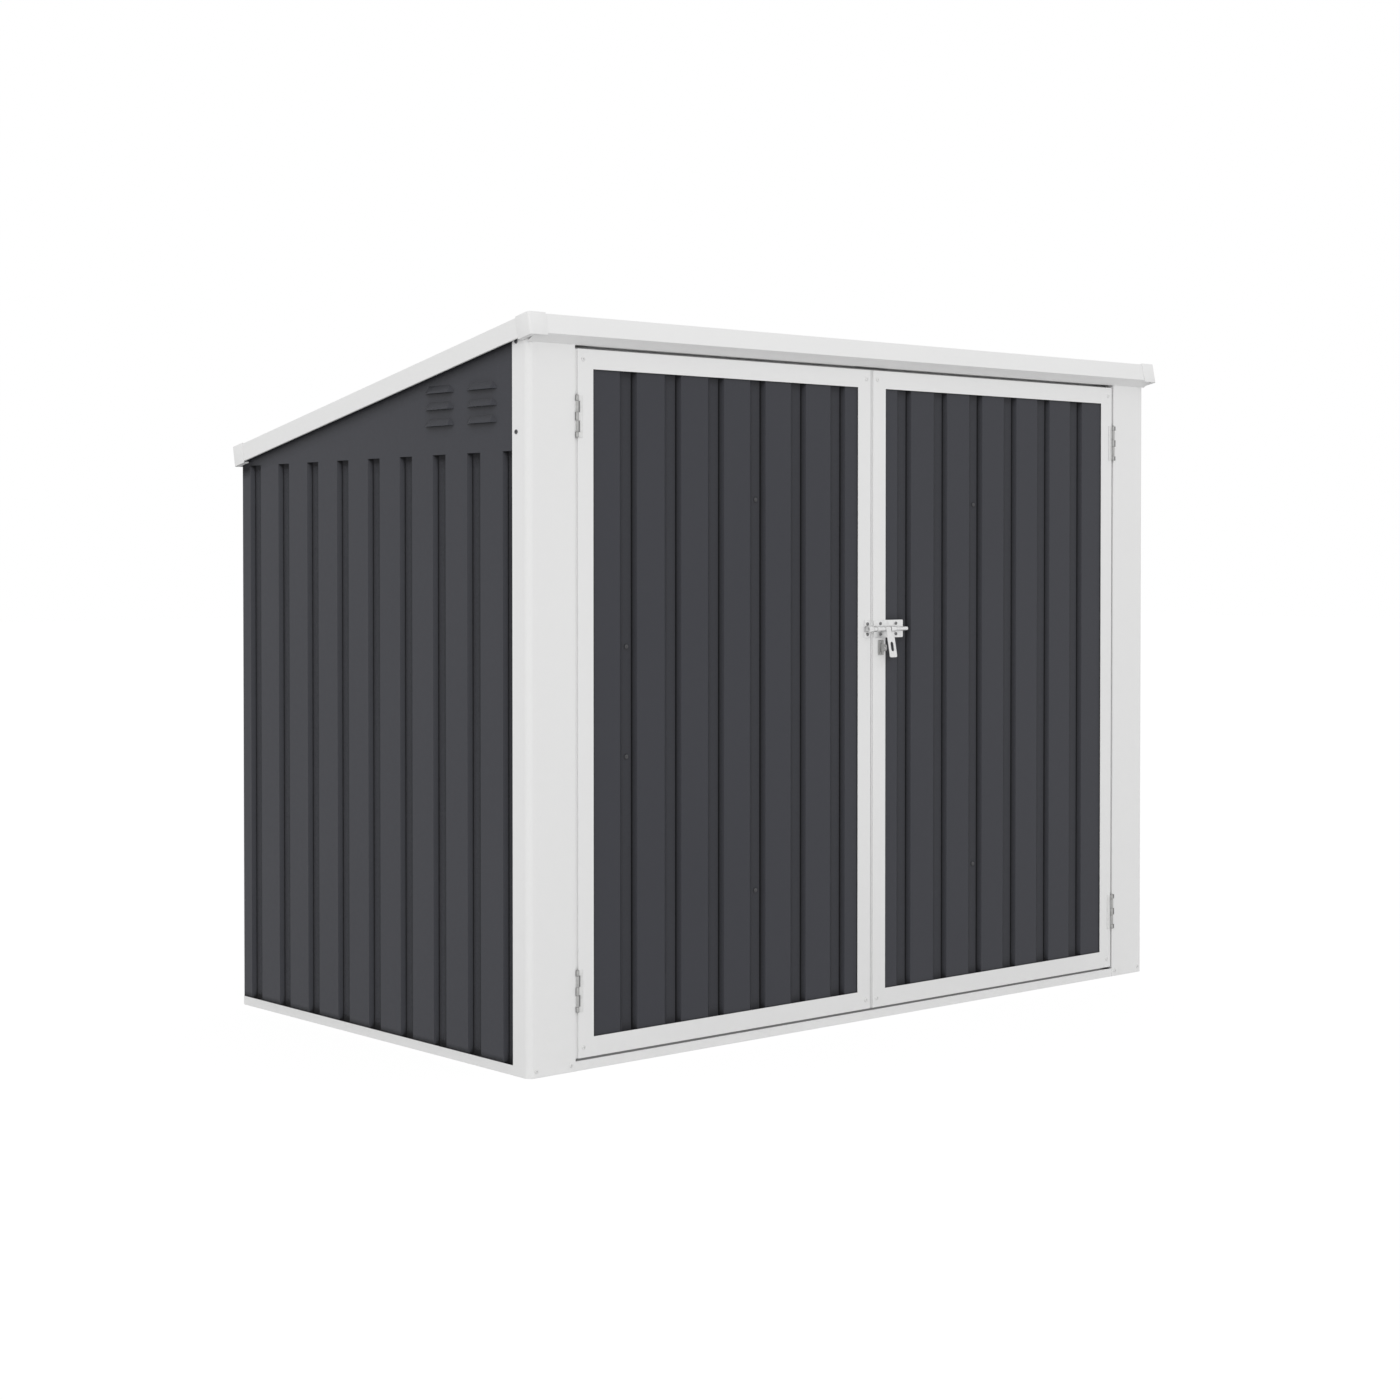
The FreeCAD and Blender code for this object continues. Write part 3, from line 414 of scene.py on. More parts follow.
class Slot(Enum):
    """Finishes of the record, by the name of their material slot."""

    FRAME = "pale_frame"
    SHEET = "grey_sheet"
    GALVANISED = "galvanised"
    HINGE = "hinge_steel"
    LATCH = "latch_zinc"
    SCREW = "screw_steel"
    CAP = "cap_plastic"


class Coat(Enum):
    """Finishes of small pieces beside those of the record."""

    # A darker copy of the zinc: painted shade on hinge barrels, pins, the padlock staple and its
    # screws.
    BARREL = "barrel"
    # Black zinc of the screws, also the painted shadow of the hinges' dark strips.
    BLACK_SCREW = "black_screw"
    GREY_SCREW = "grey_screw"


class Side(Enum):
    """The store's two sides, as seen from the front."""

    LEFT = "left"
    RIGHT = "right"

    @property
    def sign(self) -> float:
        """1 on the left, where pieces are modelled, and -1 for their mirror images."""
        return 1.0 if self is Side.LEFT else -1.0

    @property
    def door(self) -> str:
        """The body of that side's door."""
        return f"{self.value}_door"


Finish = Union[PaintFinish, GalvanisedFinish, ZincFinish, PlasticFinish]
Look = Union[Slot, Coat]
Materials = Dict[Look, bpy.types.Material]
UPRIGHT_GRAIN: Point = (1.0, 1.0, 0.04)
FINISHES: Dict[Look, Finish] = {
    # The off-white paint has painted shade in its folds.
    Slot.FRAME: PaintFinish(
        "off_white_paint", (0.862, 0.862, 0.860), (0.848, 0.848, 0.846), (0.66, 0.65, 0.63),
        roughness=0.68, gloss=0.1, painted_shade=(0.36, 0.36, 0.36), painted_shade_reach=0.006,
        fold_band=(0.25, 0.8), foot_share=0.0, painted_light_share=0.0, side_share=0.0),
    # The dark grey paint has painted shade in its creases and groove floors, and painted light on
    # the creases' lips.
    Slot.SHEET: PaintFinish(
        "dark_grey_paint", (0.0468, 0.0482, 0.0572), (0.0438, 0.0452, 0.0540),
        (0.10, 0.098, 0.096), roughness=0.5, gloss=0.22),
    Slot.GALVANISED: GalvanisedFinish(
        "galvanised_steel", (0.60, 0.61, 0.62), (0.47, 0.48, 0.50), roughness=0.45),
    Slot.HINGE: ZincFinish(
        "hinge_zinc", (0.80, 0.80, 0.795), (0.75, 0.75, 0.745), roughness=0.45, metallic=0.2,
        grain=UPRIGHT_GRAIN, painted_shade_share=0.6),
    Slot.LATCH: ZincFinish(
        "latch_zinc", (0.80, 0.80, 0.80), (0.71, 0.71, 0.71), roughness=0.36, metallic=0.6),
    Slot.SCREW: ZincFinish(
        "screw_zinc", (0.80, 0.80, 0.795), (0.75, 0.75, 0.745), roughness=0.48, metallic=0.15,
        painted_shade_share=0.15),
    Slot.CAP: PlasticFinish(
        "off_white_plastic", (0.862, 0.862, 0.860), (0.852, 0.852, 0.850), roughness=0.75),
    # Painted shade: the zinc made darker for parts that lie in shadow.
    Coat.BARREL: ZincFinish(
        "barrel_zinc", (0.44, 0.44, 0.435), (0.39, 0.39, 0.385), roughness=0.4, metallic=0.3,
        grain=UPRIGHT_GRAIN, painted_shade_share=0.8),
    # Black screws, and the painted shadow in the hinges' dark strips.
    Coat.BLACK_SCREW: ZincFinish(
        "black_zinc", (0.085, 0.085, 0.09), (0.06, 0.06, 0.065), roughness=0.42, metallic=0.3),
    Coat.GREY_SCREW: ZincFinish(
        "grey_zinc", (0.22, 0.22, 0.225), (0.18, 0.18, 0.185), roughness=0.42, metallic=0.3),
}


class Bench:
    """A new piece, modelled by operators in millimetres from the middle of the front's foot."""

    def __init__(self, name: str) -> None:
        """Name the object that was just added and put its place into its mesh."""
        self.piece = bpy.context.object
        self.piece.name = self.piece.data.name = name
        bpy.ops.object.transform_apply(location=True, rotation=True, scale=True)

    @staticmethod
    def clear() -> None:
        """Leave edit mode and deselect everything."""
        if bpy.context.object and bpy.context.object.mode != "OBJECT":
            bpy.ops.object.mode_set(mode="OBJECT")
        bpy.ops.object.select_all(action="DESELECT")

    def activate(self) -> None:
        """Select this piece alone and make it the active one."""
        self.clear()
        self.piece.select_set(True)
        bpy.context.view_layer.objects.active = self.piece

    @classmethod
    def box(cls, name: str, *spans: Span) -> "Bench":
        """Start from a box.

        Args:
            name: the piece's name.
            spans: its ends along X, Y and Z.

        Returns:
            The piece.
        """
        cls.clear()
        centre = [(low + high) / 2 * MM for low, high in spans]
        size = [(high - low) * MM for low, high in spans]
        bpy.ops.mesh.primitive_cube_add(size=1.0, location=centre, scale=size)
        return cls(name)

    @classmethod
    def bar(cls, name: str, radius: float, start: Point, end: Point, sides: int) -> "Bench":
        """Start from a round bar.

        Args:
            name: the piece's name.
            radius: its radius.
            start: the middle of one end.
            end: the middle of the other end.
            sides: flats round it.

        Returns:
            The piece.
        """
        cls.clear()
        along = Vector(end) - Vector(start)
        turn = Vector(Z_AXIS).rotation_difference(along).to_euler()
        bpy.ops.mesh.primitive_cylinder_add(
            vertices=sides, radius=radius * MM, depth=along.length * MM,
            location=(Vector(start) + Vector(end)) / 2 * MM, rotation=turn)
        return cls(name)

    def edit(self, mode: str) -> bmesh.types.BMesh:
        """Enter edit mode with nothing selected.

        Args:
            mode: what is selected, Blender's "FACE" or "EDGE".

        Returns:
            The mesh to select in.
        """
        self.activate()
        bpy.ops.object.mode_set(mode="EDIT")
        bpy.ops.mesh.select_mode(type=mode)
        bpy.ops.mesh.select_all(action="DESELECT")
        return bmesh.from_edit_mesh(self.piece.data)

    def faces(self, test: Test) -> "Bench":
        """Select faces.

        Args:
            test: tells from a face's middle and normal whether it is taken.

        Returns:
            The piece.
        """
        for face in self.edit("FACE").faces:
            face.select_set(bool(test(face.calc_center_median() / MM, face.normal)))
        bmesh.update_edit_mesh(self.piece.data)
        return self

    def edges(self, test: Test) -> "Bench":
        """Select edges.

        Args:
            test: tells from an edge's middle and direction whether it is taken.

        Returns:
            The piece.
        """
        for edge in self.edit("EDGE").edges:
            start, end = (vertex.co for vertex in edge.verts)
            edge.select_set(bool(test((start + end) / 2 / MM, (end - start).normalized())))
        bmesh.update_edit_mesh(self.piece.data)
        return self

    def slice(self, axis: Point, *places: float) -> "Bench":
        """Cut new edges round the whole piece.

        Args:
            axis: the normal of the cuts.
            places: how far along it they are.

        Returns:
            The piece.
        """
        for place in places:
            self.edit("FACE")
            bpy.ops.mesh.select_all(action="SELECT")
            bpy.ops.mesh.bisect(plane_co=Vector(axis) * place * MM, plane_no=axis)
        return self

    def extrude(self, x: float = 0.0, y: float = 0.0, z: float = 0.0) -> "Bench":
        """Extrude what is selected by a distance along the front, back and up."""
        bpy.ops.mesh.extrude_region_move(
            TRANSFORM_OT_translate={"value": (x * MM, y * MM, z * MM)})
        return self

    def shift(self, x: float = 0.0, y: float = 0.0, z: float = 0.0) -> "Bench":
        """Move what is selected along the front, back and up."""
        bpy.ops.transform.translate(value=(x * MM, y * MM, z * MM))
        return self

    def resize(self, scale: Point, centre: Point) -> "Bench":
        """Scale what is selected about a point."""
        bpy.ops.transform.resize(value=scale, center_override=Vector(centre) * MM)
        return self

    def inset(self, width: float) -> "Bench":
        """Inset the selected faces."""
        bpy.ops.mesh.inset(thickness=width * MM, depth=0.0)
        return self

    def bevel(self, width: float, segments: int) -> "Bench":
        """Bevel the selected edges."""
        bpy.ops.mesh.bevel(offset=width * MM, segments=segments, affect="EDGES")
        return self

    def spin(self, angle_deg: float, centre: Point, axis: Point, steps: int) -> "Bench":
        """Sweep the selected faces right-handed; the operator itself turns the other way."""
        bpy.ops.mesh.spin(steps=steps, angle=math.radians(-angle_deg),
                          center=Vector(centre) * MM, axis=axis)
        return self

    def tidy(self) -> "Bench":
        """Merge doubled points and turn the faces outwards."""
        self.edit("FACE")
        bpy.ops.mesh.select_all(action="SELECT")
        bpy.ops.mesh.remove_doubles(threshold=0.004 * MM)
        bpy.ops.mesh.normals_make_consistent(inside=False)
        self.clear()
        return self

    def modifier(self, kind: str, **settings: Any) -> "Bench":
        """Add a modifier and apply it.

        Args:
            kind: the modifier's type.
            settings: its properties.

        Returns:
            The piece.
        """
        self.activate()
        bpy.ops.object.modifier_add(type=kind)
        added = self.piece.modifiers[-1]
        for key, value in settings.items():
            setattr(added, key, value)
        bpy.ops.object.modifier_apply(modifier=added.name)
        return self

    def soften(self, width: float) -> "Bench":
        """Round the sharp edges of the whole piece."""
        return self.modifier("BEVEL", width=width * MM, segments=2, limit_method="ANGLE",
                             angle_limit=math.radians(32.0))

    def cut_out(self, cutter: "Bench") -> "Bench":
        """Take another piece's shape out of this one, and delete that piece."""
        self.modifier("BOOLEAN", operation="DIFFERENCE", object=cutter.piece, solver="EXACT")
        cutter.drop()
        return self

    def moved(self, matrix: Matrix) -> "Bench":
        """Turn and move the whole mesh, in metres."""
        self.clear()
        self.piece.data.transform(matrix)
        return self.tidy() if matrix.determinant() < 0.0 else self

    def copy(self, name: str, matrix: Matrix) -> "Bench":
        """Copy the piece, with its own mesh, to another place."""
        self.activate()
        bpy.ops.object.duplicate()
        return Bench(name).moved(matrix)

    def join(self, *others: "Bench") -> "Bench":
        """Make other pieces part of this one.

        Args:
            others: the pieces that go.

        Returns:
            The piece.
        """
        self.activate()
        for bench in others:
            bench.piece.select_set(True)
        bpy.ops.object.join()
        return self

    def drop(self) -> None:
        """Delete the piece, as a pattern once its copies are made."""
        bpy.data.objects.remove(self.piece, do_unlink=True)

    def coat(self, material: bpy.types.Material) -> "Bench":
        """Give the whole piece one material."""
        self.piece.data.materials.clear()
        self.piece.data.materials.append(material)
        return self

    def finish(self, body: str, slot: Slot, node: str) -> None:
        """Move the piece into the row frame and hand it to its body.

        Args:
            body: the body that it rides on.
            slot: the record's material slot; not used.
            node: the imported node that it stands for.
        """
        self.activate()
        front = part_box("front_post_left")[0].y
        self.piece.data.transform(Matrix.Translation((0.0, front, 0.0)))
        bpy.ops.object.shade_smooth_by_angle(angle=math.radians(35.0))
        self.clear()
        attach(self.piece, body)
        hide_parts(node)
        LOG.info("built %s on %s: %d faces", self.piece.name, body, len(self.piece.data.polygons))


class ScrewSize(Enum):
    """Screws, by the radius of the head and the radius and length of the shank."""

    PLAIN = (4.0, 2.0, 6.0)
    SEAM = (4.0, 2.0, 12.0)
    LATCH = (3.2, 1.6, 5.0)


@dataclass(frozen=True)
class ScrewRow:
    """Screws of one kind, at each of some places across and each of some heights."""

    size: ScrewSize
    look: Look
    xs: Tuple[float, ...]
    y: float
    zs: Tuple[float, ...]
    turn_deg: float = 0.0

    def mirrored(self) -> "ScrewRow":
        """The same row on the left."""
        return replace(self, xs=tuple(-x for x in self.xs), turn_deg=-self.turn_deg)


@dataclass
class Screws:
    """Pan-head screws with a cross recess: one model of each size, copied to every hole.

    The rows of the carcass and of the doors are given for the right-hand side.
    """

    materials: Materials
    head_t: float = 1.8
    sides: int = 24
    dome_share: float = 0.6
    tip: float = 1.6
    tip_share: float = 0.35
    recess_depth: float = 1.0
    arm_share: float = 0.52
    slit_share: float = 0.13
    recess_taper: float = 0.75
    drive_step_deg: float = 37.0
    carcass_rows: Tuple[ScrewRow, ...] = (
        ScrewRow(ScrewSize.PLAIN, Coat.BLACK_SCREW, (850.0,), 34.0, (1290.13, 1132.13), 90.0),
        ScrewRow(ScrewSize.PLAIN, Slot.SCREW, (833.5, 756.0), 0.0, (12.0,)),
        ScrewRow(ScrewSize.PLAIN, Coat.BLACK_SCREW, (833.8,), 959.2, (120.0, 563.66, 1007.32),
                 180.0))
    door_rows: Tuple[ScrewRow, ...] = (
        ScrewRow(ScrewSize.PLAIN, Slot.SCREW, (727.5, 15.5), 0.0, (40.0, 1264.0)),
        ScrewRow(ScrewSize.SEAM, Coat.BLACK_SCREW, (304.6,), 8.6, (282.0, 1022.0)))
    left_rows: Tuple[ScrewRow, ...] = (
        ScrewRow(ScrewSize.PLAIN, Coat.BLACK_SCREW, (-622.0,), 8.6, (552.5, 751.5)),
        ScrewRow(ScrewSize.LATCH, Coat.GREY_SCREW, (-13.0,), -1.2, (761.5, 782.5)))
    right_rows: Tuple[ScrewRow, ...] = (
        ScrewRow(ScrewSize.LATCH, Coat.GREY_SCREW, (23.0, 67.0), -1.2, (761.5,)),
        ScrewRow(ScrewSize.LATCH, Coat.GREY_SCREW, (23.0, 67.0), -1.2, (782.5,)),
        # The staple's screws take the darker zinc of painted shade.
        ScrewRow(ScrewSize.LATCH, Coat.BARREL, (25.0,), -1.0, (724.0, 746.0)))

    def pattern(self, size: ScrewSize) -> Bench:
        """Model one screw at the origin, driven along +Y.

        Args:
            size: its size.

        Returns:
            The screw.
        """
        head_r, shank_r, length = size.value
        crown = -self.head_t
        screw = Bench.bar("screw", head_r, (0.0, crown, 0.0), (0.0, 0.0, 0.0), self.sides)
        screw.edges(lambda mid, along: mid.y < crown + NEAR).bevel(self.head_t * self.dome_share, 4)
        screw.faces(lambda mid, normal: normal.y > ALONG).inset(head_r - shank_r)
        screw.extrude(y=length - self.tip).extrude(y=self.tip)
        screw.resize((self.tip_share, 1.0, self.tip_share), (0.0, length, 0.0))
        slit = about(0.0, head_r * self.slit_share)
        floor = crown + self.recess_depth
        cross = Bench.box("screw_recess", slit, (crown - 1.0, floor), slit)
        cross.faces(lambda mid, normal: max(abs(normal.x), abs(normal.z)) > ALONG)
        arm = head_r * self.arm_share - slit[1]
        bpy.ops.mesh.extrude_faces_move(TRANSFORM_OT_shrink_fatten={"value": arm * MM})
        cross.faces(lambda mid, normal: normal.y > ALONG)
        cross.resize((self.recess_taper, 1.0, self.recess_taper), (0.0, floor, 0.0))
        return screw.cut_out(cross.tidy()).tidy()

    def place(self, pattern: Bench, order: int, row: ScrewRow, at: Point) -> Bench:
        """Copy a screw to its hole.

        Args:
            pattern: the screw.
            order: its number, which sets how far it was driven round.
            row: the row that it belongs to.
            at: where its head sits.

        Returns:
            The copy.
        """
        roll = Matrix.Rotation(math.radians(self.drive_step_deg * order), 4, "Y")
        turn = Matrix.Rotation(math.radians(row.turn_deg), 4, "Z")
        seat = Matrix.Translation(Vector(at) * MM)
        return pattern.copy(f"screw_{order}", seat @ turn @ roll).coat(self.materials[row.look])

    def build(self) -> None:
        """Make the carcass's and the doors' screws."""
        patterns = {size: self.pattern(size) for size in ScrewSize}
        groups = {
            "carcass": [*(row.mirrored() for row in self.carcass_rows), *self.carcass_rows],
            Side.LEFT.door: [*(row.mirrored() for row in self.door_rows), *self.left_rows],
            Side.RIGHT.door: [*self.door_rows, *self.right_rows]}
        for body, rows in groups.items():
            spots = [(row, (x, row.y, z)) for row in rows for x in row.xs for z in row.zs]
            copies = [self.place(patterns[row.size], order, row, at)
                      for order, (row, at) in enumerate(spots)]
            whole = copies[0].join(*copies[1:])
            whole.piece.name = f"{body}_screw_set"
            whole.finish(body, Slot.SCREW, f"{body}_screws")
        for pattern in patterns.values():
            pattern.drop()


@dataclass
class Hinges:
    """Four butt hinges: leaves whose ends are rolled into knuckles, and their pins."""

    materials: Materials
    axis_x: float = -742.75
    axis_y: float = -2.0
    levels: Tuple[Tuple[str, float], ...] = (("lower", 142.0), ("upper", 1162.0))
    half: float = 37.0
    door_spans: Spans = ((-37.0, -28.0), (-7.0, 7.0), (28.0, 37.0))
    post_spans: Spans = ((-27.5, -7.5), (7.5, 27.5))
    barrel_r: float = 3.1
    roll_t: float = 1.5
    roll_steps: int = 22
    door_roll_deg: float = 288.0
    post_roll_deg: float = 300.0
    leaf_t: float = 1.0
    edge_r: float = 0.22
    door_x: Span = (-739.5, -729.0)
    notch_x: float = -734.0
    notch_rim: float = 0.05
    notch_depth: float = 0.7
    post_x: Span = (-746.0, -745.0)
    post_y: Span = (1.0, 18.0)
    # Dark strips painted as the shadow in the gaps beside the barrels.
    strip_x: Spans = ((-739.4, -735.6), (747.0, 752.4))
    strip_t: float = 0.45
    strip_corner: float = 0.5
    pin_r: float = 1.5
    pin_sides: int = 24
    pin_rise: float = 0.5
    pin_head_r: float = 2.6
    pin_head_t: float = 1.2
    pin_dome: float = 0.8
    pin_foot: float = 0.4

    def rolled(self, leaf: Bench, sweep_deg: float) -> Bench:
        """Roll the selected end of a leaf into knuckles and round its edges."""
        leaf.spin(sweep_deg, (self.axis_x, self.axis_y, 0.0), Z_AXIS, self.roll_steps)
        return leaf.tidy().soften(self.edge_r)

    def door_leaf(self) -> Bench:
        """Model the left door's leaf about Z = 0.

        Returns:
            The leaf.
        """
        near = self.door_x[0]
        leaf = Bench.box("door_leaf", self.door_x, (-self.leaf_t, 0.0), about(0.0, self.half))
        leaf.slice(Z_AXIS, self.door_spans[0][1], *self.door_spans[1], self.door_spans[2][0])
        leaf.slice(X_AXIS, self.notch_x)
        leaf.faces(lambda mid, normal: normal.y < -ALONG and mid.x < self.notch_x
                   and not within(mid.z, self.door_spans))
        leaf.inset(self.notch_rim).shift(y=self.notch_depth)
        leaf.faces(lambda mid, normal: normal.x < -ALONG and mid.x < near + NEAR
                   and within(mid.z, self.door_spans))
        leaf.extrude(x=self.axis_x - near)
        middle = -self.leaf_t / 2
        leaf.resize((1.0, self.roll_t / self.leaf_t, 1.0), (self.axis_x, middle, 0.0))
        leaf.shift(y=self.axis_y + self.barrel_r - self.roll_t / 2 - middle)
        return self.rolled(leaf, self.door_roll_deg)

    def post_leaf(self) -> Bench:
        """Model the left post's leaf about Z = 0.

        Returns:
            The leaf.
        """
        leaf = Bench.box("post_leaf", self.post_x, self.post_y, about(0.0, self.half))
        leaf.slice(Z_AXIS, *(limit for span in self.post_spans for limit in span))
        leaf.faces(lambda mid, normal: normal.y < -ALONG and within(mid.z, self.post_spans))
        leaf.extrude(y=self.axis_y - self.post_y[0])
        middle = sum(self.post_x) / 2
        leaf.resize((self.roll_t / self.leaf_t, 1.0, 1.0), (middle, self.axis_y, 0.0))
        leaf.shift(x=self.axis_x - self.barrel_r + self.roll_t / 2 - middle)
        return self.rolled(leaf, self.post_roll_deg)

    def strips(self, side: Side, z: float) -> List[Bench]:
        """Model painted shadows: dark strips in the gaps on the right of a barrel, beside the other
        leaf's knuckles.

        Args:
            side: the hinge's side.
            z: the height of its middle.

        Returns:
            The strips, at their places.
        """
        left = side is Side.LEFT
        made = []
        for low, high in self.post_spans if left else self.door_spans:
            strip = Bench.box("clearance", self.strip_x[0 if left else 1], (-self.strip_t, 0.0),
                              (z + low, z + high))
            strip.edges(lambda mid, along: abs(along.y) > ALONG).bevel(self.strip_corner, 3)
            # Each strip is painted shadow, in the screws' black zinc.
            made.append(strip.tidy().coat(self.materials[Coat.BLACK_SCREW]))
        return made

    def pin(self) -> Bench:
        """Model one pin about Z = 0.

        Returns:
            The pin, with a domed head.
        """
        top = self.half + self.pin_rise
        head_z = top + self.pin_head_t
        pin = Bench.bar("hinge_pin", self.pin_r, (self.axis_x, self.axis_y, -self.half),
                        (self.axis_x, self.axis_y, top), self.pin_sides)
        pin.faces(lambda mid, normal: normal.z > ALONG)
        share = self.pin_head_r / self.pin_r
        pin.extrude(z=0.001).resize((share, share, 1.0), (self.axis_x, self.axis_y, top))
        pin.extrude(z=self.pin_head_t)
        pin.edges(lambda mid, along: mid.z > head_z - NEAR and abs(along.z) < NEAR)
        pin.bevel(self.pin_dome, 3)
        pin.edges(lambda mid, along: mid.z < -self.half + NEAR and abs(along.z) < NEAR)
        return pin.bevel(self.pin_foot, 2).tidy()

    def build(self) -> None:
        """Make the four hinges."""
        patterns = {"door": self.door_leaf(), "post": self.post_leaf()}
        pin = self.pin()
        pins = []
        for side in Side:
            bodies = {"door": side.door, "post": "carcass"}
            striped = "door" if side is Side.LEFT else "post"
            mirror = Matrix.Diagonal((side.sign, 1.0, 1.0, 1.0))
            for level, z in self.levels:
                spot = Matrix.Translation((0.0, 0.0, z * MM)) @ mirror
                where = f"{side.value}_{level}"
                for role, pattern in patterns.items():
                    leaf = pattern.copy(f"{where}_{role}_leaf", spot)
                    leaf.coat(self.materials[Slot.HINGE])
                    # The barrel faces take the darker zinc, painted shade for the barrel's shadow.
                    leaf.piece.data.materials.append(self.materials[Coat.BARREL])
                    for face in leaf.piece.data.polygons:
                        off = abs(face.center.x) / MM + self.axis_x
                        face.material_index = int(abs(off) < self.barrel_r)
                    # One leaf of each hinge carries the painted shadow strips.
                    if role == striped:
                        leaf.join(*self.strips(side, z))
                    leaf.finish(bodies[role], Slot.HINGE, f"{role}_hinge_leaf_{where}")
                # The pins take the darker zinc of painted shade.
                pins.append(pin.copy(f"{where}_pin", spot).coat(self.materials[Coat.BARREL]))
        whole = pins[0].join(*pins[1:])
        whole.piece.name = "hinge_pin_set"
        whole.finish("carcass", Slot.HINGE, "hinge_pins")
        for pattern in (*patterns.values(), pin):
            pattern.drop()


